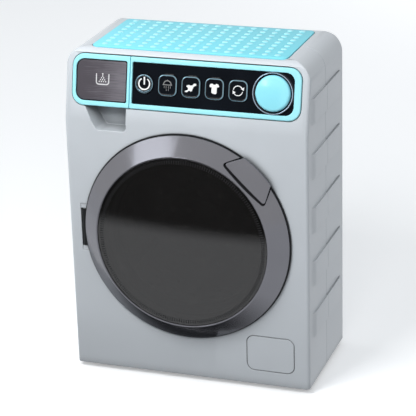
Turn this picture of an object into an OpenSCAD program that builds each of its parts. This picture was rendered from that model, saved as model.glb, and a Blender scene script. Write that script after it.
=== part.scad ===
// Toy washing machine, millimetres. It has a round door on a side hinge, a drum driven
// through a gear train, a pull-out drawer, and a control panel that leans back with a
// power button, four program buttons and a dial.
// The origin is on the floor, under the middle of the machine. The front faces -Y.

/* [Cabinet] */
// Overall width across the side bands
body_w = 189; // [186:1:230]
// Height of the two shells above the floor, feet included
body_h = 254.5; // [240:0.5:310]
// Depth of the cabinet, without the door
body_d = 95; // [90:1:130]
// Wall thickness of the two shells
wall = 2.6; // [2.2:0.1:3.2]
// Radius of the two upper corners, seen from the front
corner_r = 16; // [8:0.5:20]
// Rounding of the cabinet's long edges
edge_r = 3; // [2:0.5:6]
// Distance from the front face back to the seam between the shells
seam_depth = 48; // [40:1:60]
// Height of the feet
foot_h = 4; // [2:0.5:8]
// Radius of a foot
foot_r = 8; // [6:0.5:12]

/* [Side bands] */
// Number of raised bands on each side
band_count = 5; // [1:1:6]
// Height of one band
band_h = 19; // [12:0.5:23]
// Distance from one band to the next
band_pitch = 41.4; // [34:0.2:44]
// Height of the lowest band's lower edge
band_z0 = 42.4; // [20:0.2:50]
// How far a band stands out from the wall
band_t = 1.5; // [0.6:0.1:2.5]

/* [Top panel] */
// Distance from the side wall in to the coloured plate on top
lid_side = 18.5; // [17:0.5:36]
// Distance from the front face to the plate's front edge
lid_front = 14.5; // [12:0.5:24]
// Thickness of the plate
lid_t = 2; // [1.6:0.1:3]
// How far the plate stands above the shells
lid_proud = 0.6; // [0.2:0.1:1]
// Diameter of one round bump
bump_d = 4.6; // [3:0.1:6]
// Height of a bump
bump_h = 0.6; // [0.3:0.1:1]
// Sideways distance between bumps
bump_pitch = 9.4; // [7:0.1:12]
// Distance between rows of bumps
bump_row = 7.9; // [7:0.1:12]

/* [Control panel] */
// Height of the leaning part of the front
lean_h = 52.5; // [50:0.5:60]
// Angle at which the panel leans back
lean_angle = 12.5; // [5:0.5:18]
// Distance from the side wall in to the coloured frame
frame_side = 6; // [5:0.5:12]
// Height of the coloured frame, along the lean
frame_h = 38; // [36:0.5:40]
// Distance from the bend up to the frame's lower edge
frame_up = 10.7; // [8:0.1:12]
// Corner radius of the frame
frame_r = 9; // [4:0.5:12]
// How far the frame stands out from the shell
frame_proud = 1.2; // [0.6:0.1:2]
// Width of the frame's upper and lower borders
frame_border = 3.7; // [2.5:0.1:4.5]
// Width of the frame's border at its right end
frame_end = 5; // [3:0.5:8]
// Travel of a button
button_travel = 1.2; // [0.6:0.1:1.6]
// Width of a program button
button_w = 14.6; // [10:0.2:15.4]
// Height of a program button
button_h = 15.6; // [10:0.2:18]
// Radius of the round power button
power_r = 7; // [5:0.2:8]
// Distance between buttons
button_pitch = 17.8; // [17:0.1:18.4]
// Radius of the dial
dial_r = 13.1; // [9:0.1:13.6]
// How far the dial stands out from the panel
dial_out = 4; // [3.5:0.5:8]

/* [Drawer] */
// Width of the drawer front
drawer_w = 44.8; // [36:0.2:46]
// Inner length of the tray
tray_len = 58; // [30:1:70]
// Wall of the tray
tray_wall = 1.5; // [1.2:0.1:2.2]
// Height of the tray
tray_h = 25; // [12:0.5:26]
// Depth of the finger recess under the drawer
grip_depth = 15.5; // [10:0.5:20]

/* [Door] */
// Height of the door's middle above the floor
door_z = 117; // [110:1:130]
// Outer radius of the door ring
door_r = 79.6; // [64:0.2:82]
// Width of the ring's sloping face
ring_w = 13.9; // [10:0.1:18]
// How far the ring's inner edge stands out from the cabinet
ring_out = 13.3; // [10:0.1:18]
// Thickness of the ring's outer edge
ring_edge = 2.1; // [1.6:0.1:4]
// Wall of the ring
ring_wall = 2; // [1.6:0.1:2.6]
// Gap between the closed door and the cabinet
door_gap = 0.5; // [0.3:0.1:1]
// Height of the window's crown above its edge
window_crown = 1.5; // [0:0.1:3]
// Length of the hinge barrel
hinge_len = 30; // [20:1:40]
// Radius of the hinge pin
pin_r = 1; // [0.8:0.1:1.2]
// Width of the handle's straight inner edge
handle_w = 41.5; // [30:0.5:46]
// Direction of the handle from the door's middle, in degrees above the right
handle_angle = 45.5; // [30:0.5:60]

/* [Drum] */
// How far the drum's wall stands outside the door opening
drum_lip = 1.1; // [0.5:0.1:3]
// Length of the drum
drum_len = 43; // [30:1:50]
// Wall of the drum
drum_wall = 1.8; // [1.4:0.1:2.4]
// Gap between drum and tub
drum_gap = 2.5; // [1.5:0.1:4]
// Rows of holes in the drum's wall
hole_rows = 3; // [1:1:5]
// Holes in one row
hole_count = 24; // [9:3:36]
// Radius of a hole
hole_r = 2.2; // [1:0.1:3]
// Height of a lifter
lifter_h = 11; // [6:0.5:16]

/* [Gears] */
// Module of all teeth
gear_m = 1; // [0.8:0.1:1.1]
// Teeth of the gear on the drum shaft
drum_teeth = 48; // [36:1:54]
// Teeth of the small idler gear
idler_small = 12; // [12:1:16]
// Teeth of the large idler gear
idler_large = 36; // [24:1:40]
// Teeth of the motor pinion
pinion_teeth = 12; // [12:1:16]
// Radius of the drum shaft
shaft_r = 3; // [2:0.1:4]

/* [Battery bay] */
// Width of the bay
bay_w = 48; // [46:1:60]
// Height of the bay, for one cell's length and its springs
bay_h = 56; // [54:1:64]
// Depth of the bay
bay_d = 17; // [16:0.5:20]

/* [Hidden] */
$fn = 64;

grey = [0.78, 0.81, 0.82];
turquoise = [0.62, 0.93, 0.98];
black = [0.07, 0.08, 0.10];
dark_grey = [0.42, 0.43, 0.46];
white = [0.90, 0.90, 0.88];
steel = [0.70, 0.71, 0.73];

// Clearances: a visible gap between fitted pieces, a running fit and a cut's overshoot
gap = 0.35;
run = 0.06;
over = 1;

// The cabinet's planes
half_w = body_w / 2 - band_t;
window_recess = 1.1;
door_reach = max(ring_out, ring_out - window_recess + window_crown);
front_y = (door_reach - body_d) / 2;
back_y = front_y + body_d;
seam_y = front_y + seam_depth;
lean_z = body_h - lean_h;
top_edge_r = 7;
lean_extra_r = 0.4;
lid_x1 = half_w - lid_side;
lid_y0 = front_y + lid_front;
lid_y1 = back_y - 7;
lid_r = 4;
lid_ledge = 3;
bump_margin = 8;
bump_sunk = 0.1;
foot_inset = 16;

// The control panel, in its own plane: x to the right, y up the lean, z out of it
frame_x1 = half_w - frame_side;
drawer_x1 = -frame_x1 + drawer_w;
seam_gap = 0.3;
control_x0 = drawer_x1 + seam_gap;
control_mid = frame_up + frame_h / 2;
pocket_d = 1.2;
frame_lip = 1.6;
ledge = 2.6;
fascia_x0 = control_x0 + frame_lip;
fascia_x1 = frame_x1 - frame_end;
fascia_r = 6.5;
fascia_face = 0.2;
fascia_t = pocket_d + fascia_face;
button_r = 4.4;
button_out = 1.4;
button_flange = 0.9;
flange_t = 1;
flange_depth = fascia_t - fascia_face + gap;
dial_x = fascia_x1 - 15.6;
power_x = control_x0 + 11.1;
dial_round = min(2.4, dial_out - 0.9 - fascia_face - gap);
dial_lip_w = 0.8;
dial_lip_h = 2.4;
dial_lip_gap = min(1.2, frame_h / 2 - frame_border - 0.2 - dial_r - dial_lip_w);
board_depth = flange_depth + flange_t + button_travel + 3.4;
board_t = 1.6;
dial_shaft_r = 3;
peg_r = 1;
peg_edge = ledge + gap + 1.2;
board_pegs = [fascia_x0 + 8, (fascia_x0 + fascia_x1) / 2, fascia_x1 - 12];

// The drawer, sliding level
tray_x0 = -frame_x1 + 4;
tray_x1 = drawer_x1 - 4;
tray_z0 = lean_z + 14.5;
bay_wall = 1.2;
drawer_t = frame_proud + pocket_d - 0.15;
plate_t = 0.9;
plate_gap = 0.75;
plate_recess = 1.4;

// The finger recess: its lower left and upper left corners, counted from the frame's end
grip_z0 = lean_z - 7.2;
grip_z1 = lean_z + frame_up + 0.5;
grip_low_x = -frame_x1 + 19;
grip_high_x = -frame_x1 + 9.2;
grip_x1 = drawer_x1 - 2.6;
grip_r = 4;
grip_taper = 8;
grip_wall = 1.6;

// The door: z out of the front face, and the drum behind it
window_r = door_r - ring_w;
window_t = 1.9;
window_seat = 3.5;
liner_t = 1.5;
liner_r = window_r - window_seat - 0.3;
rim_t = 0.9;
rim_out = 0.9;
opening_r = window_r - 5.3;
seat_z = ring_out - window_t - window_recess;
seat_t = 1.7;
hinge_x = -(door_r + 1.6);
hinge_in = 1.2;
barrel_r = 2;
barrel_gap = 0.4;
ear_t = 3.6;
arm_t = 1.8;
arm_x1 = -(door_r - 10);
tongue_x = window_r + 6;
tongue_w = 9;
tongue_t = 2;
tongue_len = 9;
handle_in = window_r + 3.3;
handle_out_r = door_r + 2.9;
handle_t = 2.2;
handle_high = ring_out - 2.3;
handle_low = door_gap + ring_edge + 2.8;
handle_gap = 0.15;
handle_slot = 1.4;
handle_r = 1.3;
handle_taper = 30;
seal_in = opening_r - 3.6;
seal_len = 8.5;
drum_depth = seal_len + 1;
drum_r = opening_r + drum_lip;
tub_r = drum_r + drum_gap;
tub_wall = 2;
tub_front = wall;
tub_depth = drum_depth + drum_len + 1.6;
tub_back = tub_depth + tub_wall;
boss_r = 4.2;
boss_points = [for (side = [-1, 1], z = [18, 66, lean_z - 14]) [side * (half_w - wall - 8.4), z]];
screw_r = 1.4;
head_r = 2.8;
head_t = 1.8;
head_sink = 8;
bay_head_t = 0.9;

// The gear train behind the tub: depths of its two planes, and where its axes stand
gear_gap = 1.2;
gear_t = 4;
plane_a = tub_back + gear_gap;
plane_b = plane_a + gear_t + 0.6;
wheel_t = 3;
plate_depth = plane_b + wheel_t + 0.8;
gearbox_t = 1.6;
idler_dir = 38;
motor_dir = 75;
idler_dist = gear_m * (drum_teeth + idler_small) / 2;
motor_dist = gear_m * (idler_large + pinion_teeth) / 2;
idler_at = idler_dist * [cos(idler_dir), sin(idler_dir)];
motor_at = idler_at + motor_dist * [cos(motor_dir), sin(motor_dir)];
axle_r = 1.5;
motor_shaft_r = 1;
motor_r = 10;
motor_gap = 1.5;
arm_w = 14;
pressure_angle = 25;
backlash = 0.22;
post_r = 3;
post_near = idler_dist + 7;
post_far = tub_r - 5;
post_points = [polar(post_near, 144), polar(post_near, -144), polar(post_far, 78), polar(post_far, 14)];

bay_wall_t = 1.6;
bay_z0 = foot_h + 12;
bay_door_t = 1.8;
speaker_r = 18;
speaker_at = [half_w - 38, foot_h + 42];
speaker_t = 6;
hatch = [half_w - 48.6, half_w - 11.4, foot_h + 11, foot_h + 39.6];
groove = 0.5;

// ---------- shared shapes ----------

// A rectangle with true round corners; the right pair may have its own radius
module round_rect(x0, x1, y0, y1, r, right_r = -1) {
    q = right_r < 0 ? r : right_r;
    translate([x0 + r, y0]) square([x1 - x0 - r - q, y1 - y0]);
    translate([x0, y0 + r]) square([r + 0.01, y1 - y0 - 2 * r]);
    translate([x1 - q - 0.01, y0 + q]) square([q + 0.01, y1 - y0 - 2 * q]);
    for (y = [y0 + r, y1 - r]) translate([x0 + r, y]) circle(r);
    for (y = [y0 + q, y1 - q]) translate([x1 - q, y]) circle(q);
}

// Children stand on the closed door's plane: x right, y up, z out of the front face
module at_door() translate([0, front_y, door_z]) rotate([90, 0, 0]) children();

// Children stand on the leaning panel: x right, y up the lean, z out of it
module on_panel() translate([0, front_y, lean_z]) rotate([90 - lean_angle, 0, 0]) children();

// Extrudes an outline on the panel or door between two heights
module slice(z0, z1) translate([0, 0, z0]) linear_extrude(z1 - z0) children();

// A ring standing on the current plane
module ring(outer, inner, z0, z1) slice(z0, z1) difference() {
    circle(outer);
    circle(inner);
}

// ---------- cabinet body ----------

// Side view of the cabinet, drawn in y and z, with every face moved in by one inset
module side_profile(inset) {
    y0 = front_y + inset;
    y1 = back_y - inset;
    z0 = foot_h + inset;
    z1 = body_h - inset;
    bend = lean_z - inset * tan(lean_angle / 2);
    r = top_edge_r - min(inset, top_edge_r - 1);
    br = edge_r + 2 - min(inset, edge_r + 1);
    zc = z1 - r;
    yc = y0 + (r + sin(lean_angle) * (zc - bend)) / cos(lean_angle);
    polygon([
        [y0, z0], [y0, bend], [yc - r * cos(lean_angle), zc + r * sin(lean_angle)],
        [yc, z1], [y1 - br, z1], [y1, z1 - br], [y1, z0]
    ]);
    translate([yc, zc]) circle(r);
    translate([y1 - br, z1 - br]) circle(br);
}

// Plan of the cabinet with its front edge on y = 0 and its vertical edges rounded; the
// leaning part's rounding is a little larger, so the two don't touch along one line
module plan(inset, extra = 0) {
    r = edge_r + extra - min(inset, edge_r - 0.8);
    x1 = half_w - inset;
    translate([-x1 + r, 0]) square([2 * (x1 - r), 2 * r]);
    translate([-x1, r]) square([2 * x1, 3 * body_d]);
    for (side = [-1, 1]) translate([side * (x1 - r), r]) circle(r);
}

// The whole closed body: the side view, the front view and the two plans in common
module body_block(inset) intersection() {
    rotate([90, 0, 90]) slice(-body_w, body_w) side_profile(inset);
    translate([0, back_y + over, 0]) rotate([90, 0, 0]) slice(0, body_d + 2 * over)
        union() {
            r = corner_r - min(inset, corner_r - 1);
            x1 = half_w - inset;
            round_rect(-x1, x1, foot_h + inset, body_h - inset, r);
            translate([-x1, foot_h + inset]) square([2 * x1, 2 * r]);
        }
    translate([0, front_y + inset, 0]) slice(0, body_h + over) plan(inset);
    translate([0, front_y, lean_z]) rotate([-lean_angle, 0, 0]) translate([0, inset, -2 * body_h])
        slice(0, 4 * body_h) plan(inset, lean_extra_r);
}

// Everything in front of the seam, or behind it
module front_part() intersection() {
    children();
    translate([-body_w, front_y - over, -over])
        cube([2 * body_w, seam_depth + over, body_h + 2 * over]);
}
module rear_part() intersection() {
    children();
    translate([-body_w, seam_y, -over]) cube([2 * body_w, body_d, body_h + 2 * over]);
}

// Raised bands on both side walls, sloped at their ends
module bands() {
    y0 = front_y + 10;
    y1 = back_y - 8;
    for (i = [0:band_count - 1], side = [0, 1]) mirror([side, 0, 0])
        translate([0, 0, band_z0 + i * band_pitch]) linear_extrude(band_h)
            polygon([
                [half_w - 1, y0], [half_w, y0], [half_w + band_t, y0 + 5],
                [half_w + band_t, y1 - 5], [half_w, y1], [half_w - 1, y1]
            ]);
}

// Opening in the top: a pocket for the plate and a hole inside its ledge
module lid_cut() {
    slice(body_h - lid_t + lid_proud, body_h + over)
        round_rect(-lid_x1 - gap, lid_x1 + gap, lid_y0 - gap, lid_y1 + gap, lid_r + gap);
    slice(body_h - 2 * wall, body_h) round_rect(
        -lid_x1 + lid_ledge, lid_x1 - lid_ledge, lid_y0 + lid_ledge, lid_y1 - lid_ledge,
        lid_r - lid_ledge
    );
}

module boss(p, y0, y1) translate([p.x, y1, p.y]) rotate([90, 0, 0]) cylinder(r = boss_r, h = y1 - y0);
module along_y(x, z, y0, y1, r) translate([x, y1, z]) rotate([90, 0, 0]) cylinder(r = r, h = y1 - y0);

// Finger recess: everything above its level floor and left of its straight right side
module grip_right(grow) round_rect(
    -body_w, grip_x1 + grow, grip_z0 - grow, grip_z1 + 2 * grip_r, 1, grip_r - 1 + grow
);

// The same for its slanting left side, with a round corner where that meets the floor
module grip_left(grow) {
    slant = atan((grip_low_x - grip_high_x) / (grip_z1 - grip_z0));
    r = grip_r + grow;
    z0 = grip_z0 - grow;
    z1 = grip_z1 + grow;
    x0 = grip_low_x - grow * (1 - sin(slant)) / cos(slant);
    t = r * tan(45 - slant / 2);
    polygon([
        [x0 + t, z0], [x0 - t * sin(slant), z0 + t * cos(slant)],
        [x0 - (z1 - z0) * tan(slant), z1], [body_w, z1], [body_w, z0]
    ]);
    translate([x0 + t, z0 + r]) circle(r);
}

module grip(grow) intersection() {
    translate([0, front_y + grip_depth + grow, 0]) rotate([90, 0, 0])
        slice(0, grip_depth + grow + over) grip_right(grow);
    translate([grip_low_x, front_y, 0]) rotate([0, 0, -grip_taper])
        translate([-grip_low_x, grip_depth + body_d, 0]) rotate([90, 0, 0])
            slice(0, 2 * body_d) grip_left(grow);
}

// The level shaft through which the tray slides
module tray_way(grow) translate([tray_x0 - grow, front_y - 5, tray_z0 - grow])
    cube([tray_x1 - tray_x0 + 2 * grow, tray_len + 20, tray_h + 2 * grow]);

module panel_pocket() on_panel() {
    slice(-pocket_d, 10) round_rect(
        -frame_x1 - gap, frame_x1 + gap, frame_up - gap, frame_up + frame_h + gap, frame_r + gap
    );
    slice(-3 * wall, 0) round_rect(
        control_x0 + ledge, frame_x1 - ledge, frame_up + ledge, frame_up + frame_h - ledge,
        1.5, frame_r - ledge
    );
}

module hatch_groove() translate([0, front_y + groove, 0]) rotate([90, 0, 0])
    slice(0, over + groove) difference() {
        round_rect(hatch[0], hatch[1], hatch[2], hatch[3], 6);
        round_rect(hatch[0] + groove, hatch[1] - groove, hatch[2] + groove, hatch[3] - groove, 6 - groove);
    }

module front_shell() color(grey) front_part() difference() {
    union() {
        difference() {
            body_block(0);
            body_block(wall);
        }
        intersection() {
            body_block(0);
            union() {
                for (p = boss_points) boss(p, front_y + wall / 2, seam_y);
                grip(grip_wall);
            }
        }
        bands();
    }
    at_door() {
        slice(-2 * wall, over) circle(opening_r);
        // Slot for the hinge, and the mouth for the door's tongue
        slice(-2 * wall, over) translate([hinge_x - barrel_r - barrel_gap, -hinge_len / 2 - ear_t])
            square([arm_x1 + 1 - hinge_x + barrel_r + barrel_gap, hinge_len + 2 * ear_t]);
        slice(-2 * wall, over) translate([tongue_x - 0.6, -tongue_w / 2 - 0.6])
            square([tongue_t + 1.2, tongue_w + 1.2]);
    }
    grip(0);
    panel_pocket();
    tray_way(0.6);
    lid_cut();
    hatch_groove();
    for (p = boss_points) along_y(p.x, p.y, seam_y - 20, seam_y + over, screw_r - 0.25);
}

// Speaker holes: one in the middle and rings of six and twelve round it
module speaker_holes() for (k = [0:2], i = [0:max(1, 6 * k) - 1])
    let (a = 360 * i / max(1, 6 * k), d = 5.2 * k)
        along_y(speaker_at.x + d * cos(a), speaker_at.y + d * sin(a), back_y - 2 * wall, back_y + over, 1.3);

module rear_shell() color(grey) rear_part() difference() {
    union() {
        difference() {
            body_block(0);
            body_block(wall);
        }
        for (p = boss_points) boss(p, seam_y, back_y - wall / 2);
        translate([-bay_w / 2 - bay_wall_t, back_y - bay_d - bay_wall_t, bay_z0 - bay_wall_t])
            cube([bay_w + 2 * bay_wall_t, bay_d, bay_h + 2 * bay_wall_t]);
        along_y(0, bay_z0 + bay_h + 7, back_y - 12, back_y - wall / 2, boss_r);
        bands();
    }
    lid_cut();
    translate([-bay_w / 2, back_y - bay_d, bay_z0]) cube([bay_w, bay_d + over, bay_h]);
    translate([0, back_y + over, 0]) rotate([90, 0, 0]) slice(0, bay_door_t + over + gap)
        round_rect(-bay_w / 2 - 3, bay_w / 2 + 3, bay_z0 - 3, bay_z0 + bay_h + 12, 3);
    along_y(0, bay_z0 + bay_h + 7, back_y - 11, back_y, screw_r - 0.25);
    speaker_holes();
    for (p = boss_points) {
        along_y(p.x, p.y, seam_y - over, back_y, screw_r + 0.3);
        along_y(p.x, p.y, back_y - head_sink, back_y + over, head_r + 0.5);
    }
}

// Plate with a square grid of round, flat-topped bumps
module top_panel() color(turquoise) {
    rows = floor((lid_y1 - lid_y0 - 2 * bump_d) / bump_row) + 1;
    cols = floor(2 * (lid_x1 - bump_margin) / bump_pitch) + 1;
    top = body_h + lid_proud;
    slice(top - lid_t, top) round_rect(-lid_x1, lid_x1, lid_y0, lid_y1, lid_r);
    for (j = [0:rows - 1], i = [0:cols - 1]) translate([
        (i - (cols - 1) / 2) * bump_pitch, (lid_y0 + lid_y1) / 2 + (j - (rows - 1) / 2) * bump_row,
        top - bump_sunk
    ]) cylinder(r1 = bump_d / 2, r2 = bump_d / 2 - 1.1, h = bump_h + bump_sunk);
}

module feet() color(dark_grey)
    for (side = [-1, 1], y = [front_y + foot_inset, back_y - foot_inset])
        translate([side * (half_w - foot_inset), y, 0]) {
            cylinder(r1 = foot_r - 1, r2 = foot_r, h = 1);
            translate([0, 0, 1]) cylinder(r = foot_r, h = foot_h - 1);
        }

module screw(x, z, y_head, len, t) {
    along_y(x, z, y_head - t, y_head, head_r);
    along_y(x, z, y_head - len, y_head - t / 2, screw_r - 0.3);
}

module case_screws() color(steel) for (p = boss_points)
    screw(p.x, p.y, back_y - head_sink + head_t, back_y - head_sink + head_t - (seam_y - 16), head_t);

// ---------- control panel ----------

module frame_outline(x0, x1, left_r, right_r) round_rect(x0, x1, frame_up, frame_up + frame_h, left_r, right_r);

module fascia_outline(shrink) round_rect(
    fascia_x0 + shrink, fascia_x1 - shrink, frame_up + frame_border + shrink,
    frame_up + frame_h - frame_border - shrink, 1.2, fascia_r - shrink
);

module control_frame() color(turquoise) on_panel() difference() {
    union() {
        slice(-pocket_d, frame_proud - 0.5) frame_outline(control_x0, frame_x1, 0.6, frame_r);
        slice(frame_proud - 0.6, frame_proud) round_rect(
            control_x0 + 0.4, frame_x1 - 0.5, frame_up + 0.5, frame_up + frame_h - 0.5, 0.5, frame_r - 0.5
        );
        slice(-fascia_t - 2.6, -pocket_d + 0.1) round_rect(
            control_x0 + ledge + gap, frame_x1 - ledge - gap, frame_up + ledge + gap,
            frame_up + frame_h - ledge - gap, 1.2, frame_r - ledge - gap
        );
        for (x = board_pegs, y = [peg_edge, frame_h - peg_edge])
            translate([x, frame_up + y, -board_depth]) cylinder(r = peg_r, h = board_depth - pocket_d);
    }
    slice(-fascia_t + fascia_face, frame_proud + over) fascia_outline(0);
    slice(-20, 0) round_rect(
        fascia_x0 + 1.2, fascia_x1 - 1.6, frame_up + frame_border + 1.6,
        frame_up + frame_h - frame_border - 1.6, 1, fascia_r - 1.6
    );
}

module button_outline(grow) round_rect(
    -button_w / 2 - grow, button_w / 2 + grow, -button_h / 2 - grow, button_h / 2 + grow, button_r + grow
);
function button_x(i) = power_x + (i + 1) * button_pitch;

module control_fascia() color(black) on_panel() difference() {
    slice(fascia_face - fascia_t, fascia_face) fascia_outline(0.15);
    translate([power_x, control_mid, 0]) slice(-5, 5) circle(power_r + gap);
    for (i = [0:3]) translate([button_x(i), control_mid, 0]) slice(-5, 5) button_outline(gap);
    translate([dial_x, control_mid, 0]) slice(-5, 5) circle(dial_shaft_r + gap);
}

// A program button: a cap with a stepped, rounded edge and a flange that holds it in
module program_button(i) color(black) on_panel() translate([button_x(i), control_mid, 0]) {
    slice(-flange_depth, button_out - 0.5) button_outline(0);
    slice(button_out - 0.6, button_out) button_outline(-0.6);
    slice(-flange_depth - flange_t, -flange_depth) button_outline(button_flange);
}
module program_button_1() program_button(0);
module program_button_2() program_button(1);
module program_button_3() program_button(2);
module program_button_4() program_button(3);

module power_button() color(black) on_panel() translate([power_x, control_mid, 0]) rotate_extrude()
    polygon([
        [0, -flange_depth - flange_t], [power_r + button_flange, -flange_depth - flange_t],
        [power_r + button_flange, -flange_depth], [power_r, -flange_depth], [power_r, button_out - 0.4],
        [power_r - 0.4, button_out + 0.1], [power_r - 1.6, button_out + 0.4],
        [power_r - 2.2, button_out], [0, button_out - 0.3]
    ]);

module dial_ring() color(steel) on_panel() translate([dial_x, control_mid, 0])
    ring(
        dial_r + dial_lip_gap + dial_lip_w, dial_r + dial_lip_gap,
        fascia_face, fascia_face + dial_lip_h
    );

// Domed knob, revolved: a straight side and a crown that falls to its edge in an arc
module dial_knob() color(turquoise) on_panel() translate([dial_x, control_mid, 0]) rotate_extrude()
    difference() {
        polygon(concat(
            [[0, fascia_face + gap], [dial_r, fascia_face + gap]],
            [for (a = [0:15:90])
                [dial_r - dial_round * (1 - cos(a)), dial_out - 0.8 - dial_round * (1 - sin(a))]],
            [[dial_r * 0.5, dial_out - 0.2], [0, dial_out]]
        ));
        square([dial_shaft_r + 0.02, dial_out - 2]);
    }

module dial_shaft() color(white) on_panel() translate([dial_x, control_mid, 0])
    slice(-board_depth + 0.3, dial_out - 2.02) difference() {
        circle(dial_shaft_r);
        translate([dial_shaft_r - 0.8, -dial_shaft_r]) square(2 * dial_shaft_r);
    }

module circuit_board() color([0.15, 0.42, 0.25]) on_panel() {
    switch_top = -flange_depth - flange_t - button_travel - 0.2;
    slice(-board_depth - board_t, -board_depth)
        translate([fascia_x0 + 3, frame_up + 3]) square([fascia_x1 - fascia_x0 - 6, frame_h - 6]);
    for (x = concat([power_x], [for (i = [0:3]) button_x(i)]))
        translate([x, control_mid, 0]) slice(-board_depth - 0.1, switch_top) square(6, center = true);
}

// ---------- drawer ----------

module drawer_front() color(turquoise) on_panel() difference() {
    union() {
        slice(frame_proud - drawer_t, frame_proud - 0.5) frame_outline(-frame_x1, drawer_x1, frame_r, 0.6);
        slice(frame_proud - 0.6, frame_proud) round_rect(
            -frame_x1 + 0.5, drawer_x1 - 0.4, frame_up + 0.5, frame_up + frame_h - 0.5, frame_r - 0.5, 0.5
        );
    }
    slice(frame_proud - plate_recess, frame_proud + over) plate_outline(0);
}

module plate_outline(shrink) round_rect(
    -frame_x1 + 2.9 + shrink, drawer_x1 - 2.2 - shrink, frame_up + frame_border + shrink,
    frame_up + frame_h - frame_border - shrink, fascia_r - shrink, 1.4
);

module drawer_plate() color(dark_grey) on_panel()
    slice(frame_proud - plate_recess, frame_proud - plate_recess + plate_t) plate_outline(plate_gap);

// Open tray whose front end is cut to the lean of the drawer front
module drawer_tray() color(turquoise) intersection() {
    difference() {
        translate([tray_x0, front_y - 5, tray_z0]) cube([tray_x1 - tray_x0, tray_len + 5, tray_h]);
        translate([tray_x0 + tray_wall, tray_front(), tray_z0 + tray_wall])
            cube([
                tray_x1 - tray_x0 - 2 * tray_wall, tray_len + front_y - tray_front() - tray_wall,
                tray_h
            ]);
    }
    on_panel() slice(-3 * body_d, frame_proud - drawer_t) translate([-body_w, -body_h])
        square(2 * [body_w, body_h]);
}
function tray_front() = front_y + (tray_z0 + tray_h - lean_z) * tan(lean_angle) + 3.2;

// Channel that guides the tray
module drawer_bay() color(grey) difference() {
    intersection() {
        translate([tray_x0 - gap - bay_wall, front_y, tray_z0 - gap - bay_wall])
            cube([tray_x1 - tray_x0 + 2 * (gap + bay_wall), tray_len + 8, tray_h * 0.6]);
        on_panel() slice(-3 * body_d, -wall) translate([-body_w, -body_h]) square(2 * [body_w, body_h]);
    }
    translate([tray_x0 - gap, front_y, tray_z0 - gap])
        cube([tray_x1 - tray_x0 + 2 * gap, tray_len + 6.5, tray_h + over]);
}

// ---------- door ----------

// Handle outline on the door's plane: a straight inner edge with round corners, two
// slanting ends and a round outer edge; slot moves the inner edge in
module handle_outline(grow, slot = 0) rotate(handle_angle) intersection() {
    circle(handle_out_r + grow);
    union() {
        x0 = handle_in - slot;
        x1 = handle_out_r + 3;
        half = handle_w / 2 + slot * tan(handle_taper) + grow / cos(handle_taper);
        t = handle_r * tan(45 + handle_taper / 2);
        for (side = [0, 1]) mirror([0, side]) polygon(concat(
            [[x0, -1]],
            [for (a = [180:-30:60]) [x0 + handle_r + handle_r * cos(a), half - t + handle_r * sin(a)]],
            [[x1, half - (x1 - x0) * tan(handle_taper)], [x1, -1]]
        ));
    }
}

// The ring stands on the black rim of the door's back
module door_ring() color(dark_grey) at_door() difference() {
    rotate_extrude($fn = 96) polygon([
        [door_r, door_gap + rim_t], [door_r, door_gap + ring_edge], [window_r + 1.4, ring_out - 0.4],
        [window_r + 0.6, ring_out], [window_r, ring_out - 0.3], [window_r, seat_z],
        [window_r - window_seat, seat_z], [window_r - window_seat, seat_z - seat_t],
        [window_r + 0.6, seat_z - seat_t], [door_r - ring_wall, door_gap + rim_t]
    ]);
    slice(-over, 2 * ring_out) handle_outline(handle_gap, handle_slot);
}

module door_window() color([0.05, 0.05, 0.06, 0.8]) at_door() rotate_extrude($fn = 96)
    polygon(concat(
        [[0, seat_z], [window_r - 0.3, seat_z]],
        [for (k = [0:8]) let (u = 1 - k / 8)
            [(window_r - 0.3) * u, ring_out - window_recess + window_crown * (1 - u * u)]]
    ));

// The rim is cut straight beside the hinge, so that it clears the cabinet as it swings
module door_back() color(black) at_door() difference() {
    rotate_extrude($fn = 96) polygon([
        [liner_r, door_gap], [door_r + rim_out, door_gap], [door_r + rim_out, door_gap + rim_t],
        [door_r - ring_wall - 0.2, door_gap + rim_t], [door_r - ring_wall - 3, door_gap + liner_t],
        [liner_r + 1.6, door_gap + liner_t], [liner_r + 1.6, seat_z - seat_t],
        [liner_r, seat_z - seat_t]
    ]);
    for (a = [20:60:320]) rotate(a) translate([door_r - ring_wall - 7, 0, -over])
        cylinder(r = screw_r - 0.25, h = 5);
    translate([-door_r - 2 * rim_out, -door_r, 0]) cube([2 * rim_out + 0.5, 2 * door_r, ring_out]);
}

// Plate in the ring's cut-out; it slopes less than the ring, overhangs its edge and
// stands on two posts
module door_handle() color(dark_grey) at_door() intersection() {
    union() {
        rotate_extrude($fn = 96) polygon([
            [handle_in - 1, handle_top(handle_in - 1) - handle_t],
            [handle_out_r + 1, handle_top(handle_out_r + 1) - handle_t],
            [handle_out_r + 1, handle_top(handle_out_r + 1)],
            [handle_in - 1, handle_top(handle_in - 1)]
        ]);
        for (a = [-8, 8]) rotate(handle_angle + a) translate([handle_in + 5.5, 0, door_gap + liner_t])
            cylinder(r = 2.2, h = handle_low);
    }
    slice(0, 2 * ring_out) handle_outline(0);
}
function handle_top(r) = handle_high
    - (r - handle_in) * (handle_high - handle_low) / (handle_out_r - handle_in);

module door_hinge_arm() color(black) at_door() difference() {
    union() {
        translate([hinge_x, -hinge_len / 2 + barrel_gap, -hinge_in]) rotate([-90, 0, 0])
            cylinder(r = barrel_r, h = hinge_len - 2 * barrel_gap);
        translate([hinge_x, -hinge_len / 2 + barrel_gap, door_gap - 0.05 - arm_t])
            cube([arm_x1 - hinge_x, hinge_len - 2 * barrel_gap, arm_t]);
    }
    translate([hinge_x, -hinge_len, -hinge_in]) rotate([-90, 0, 0])
        cylinder(r = pin_r + run, h = 2 * hinge_len);
}

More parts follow.
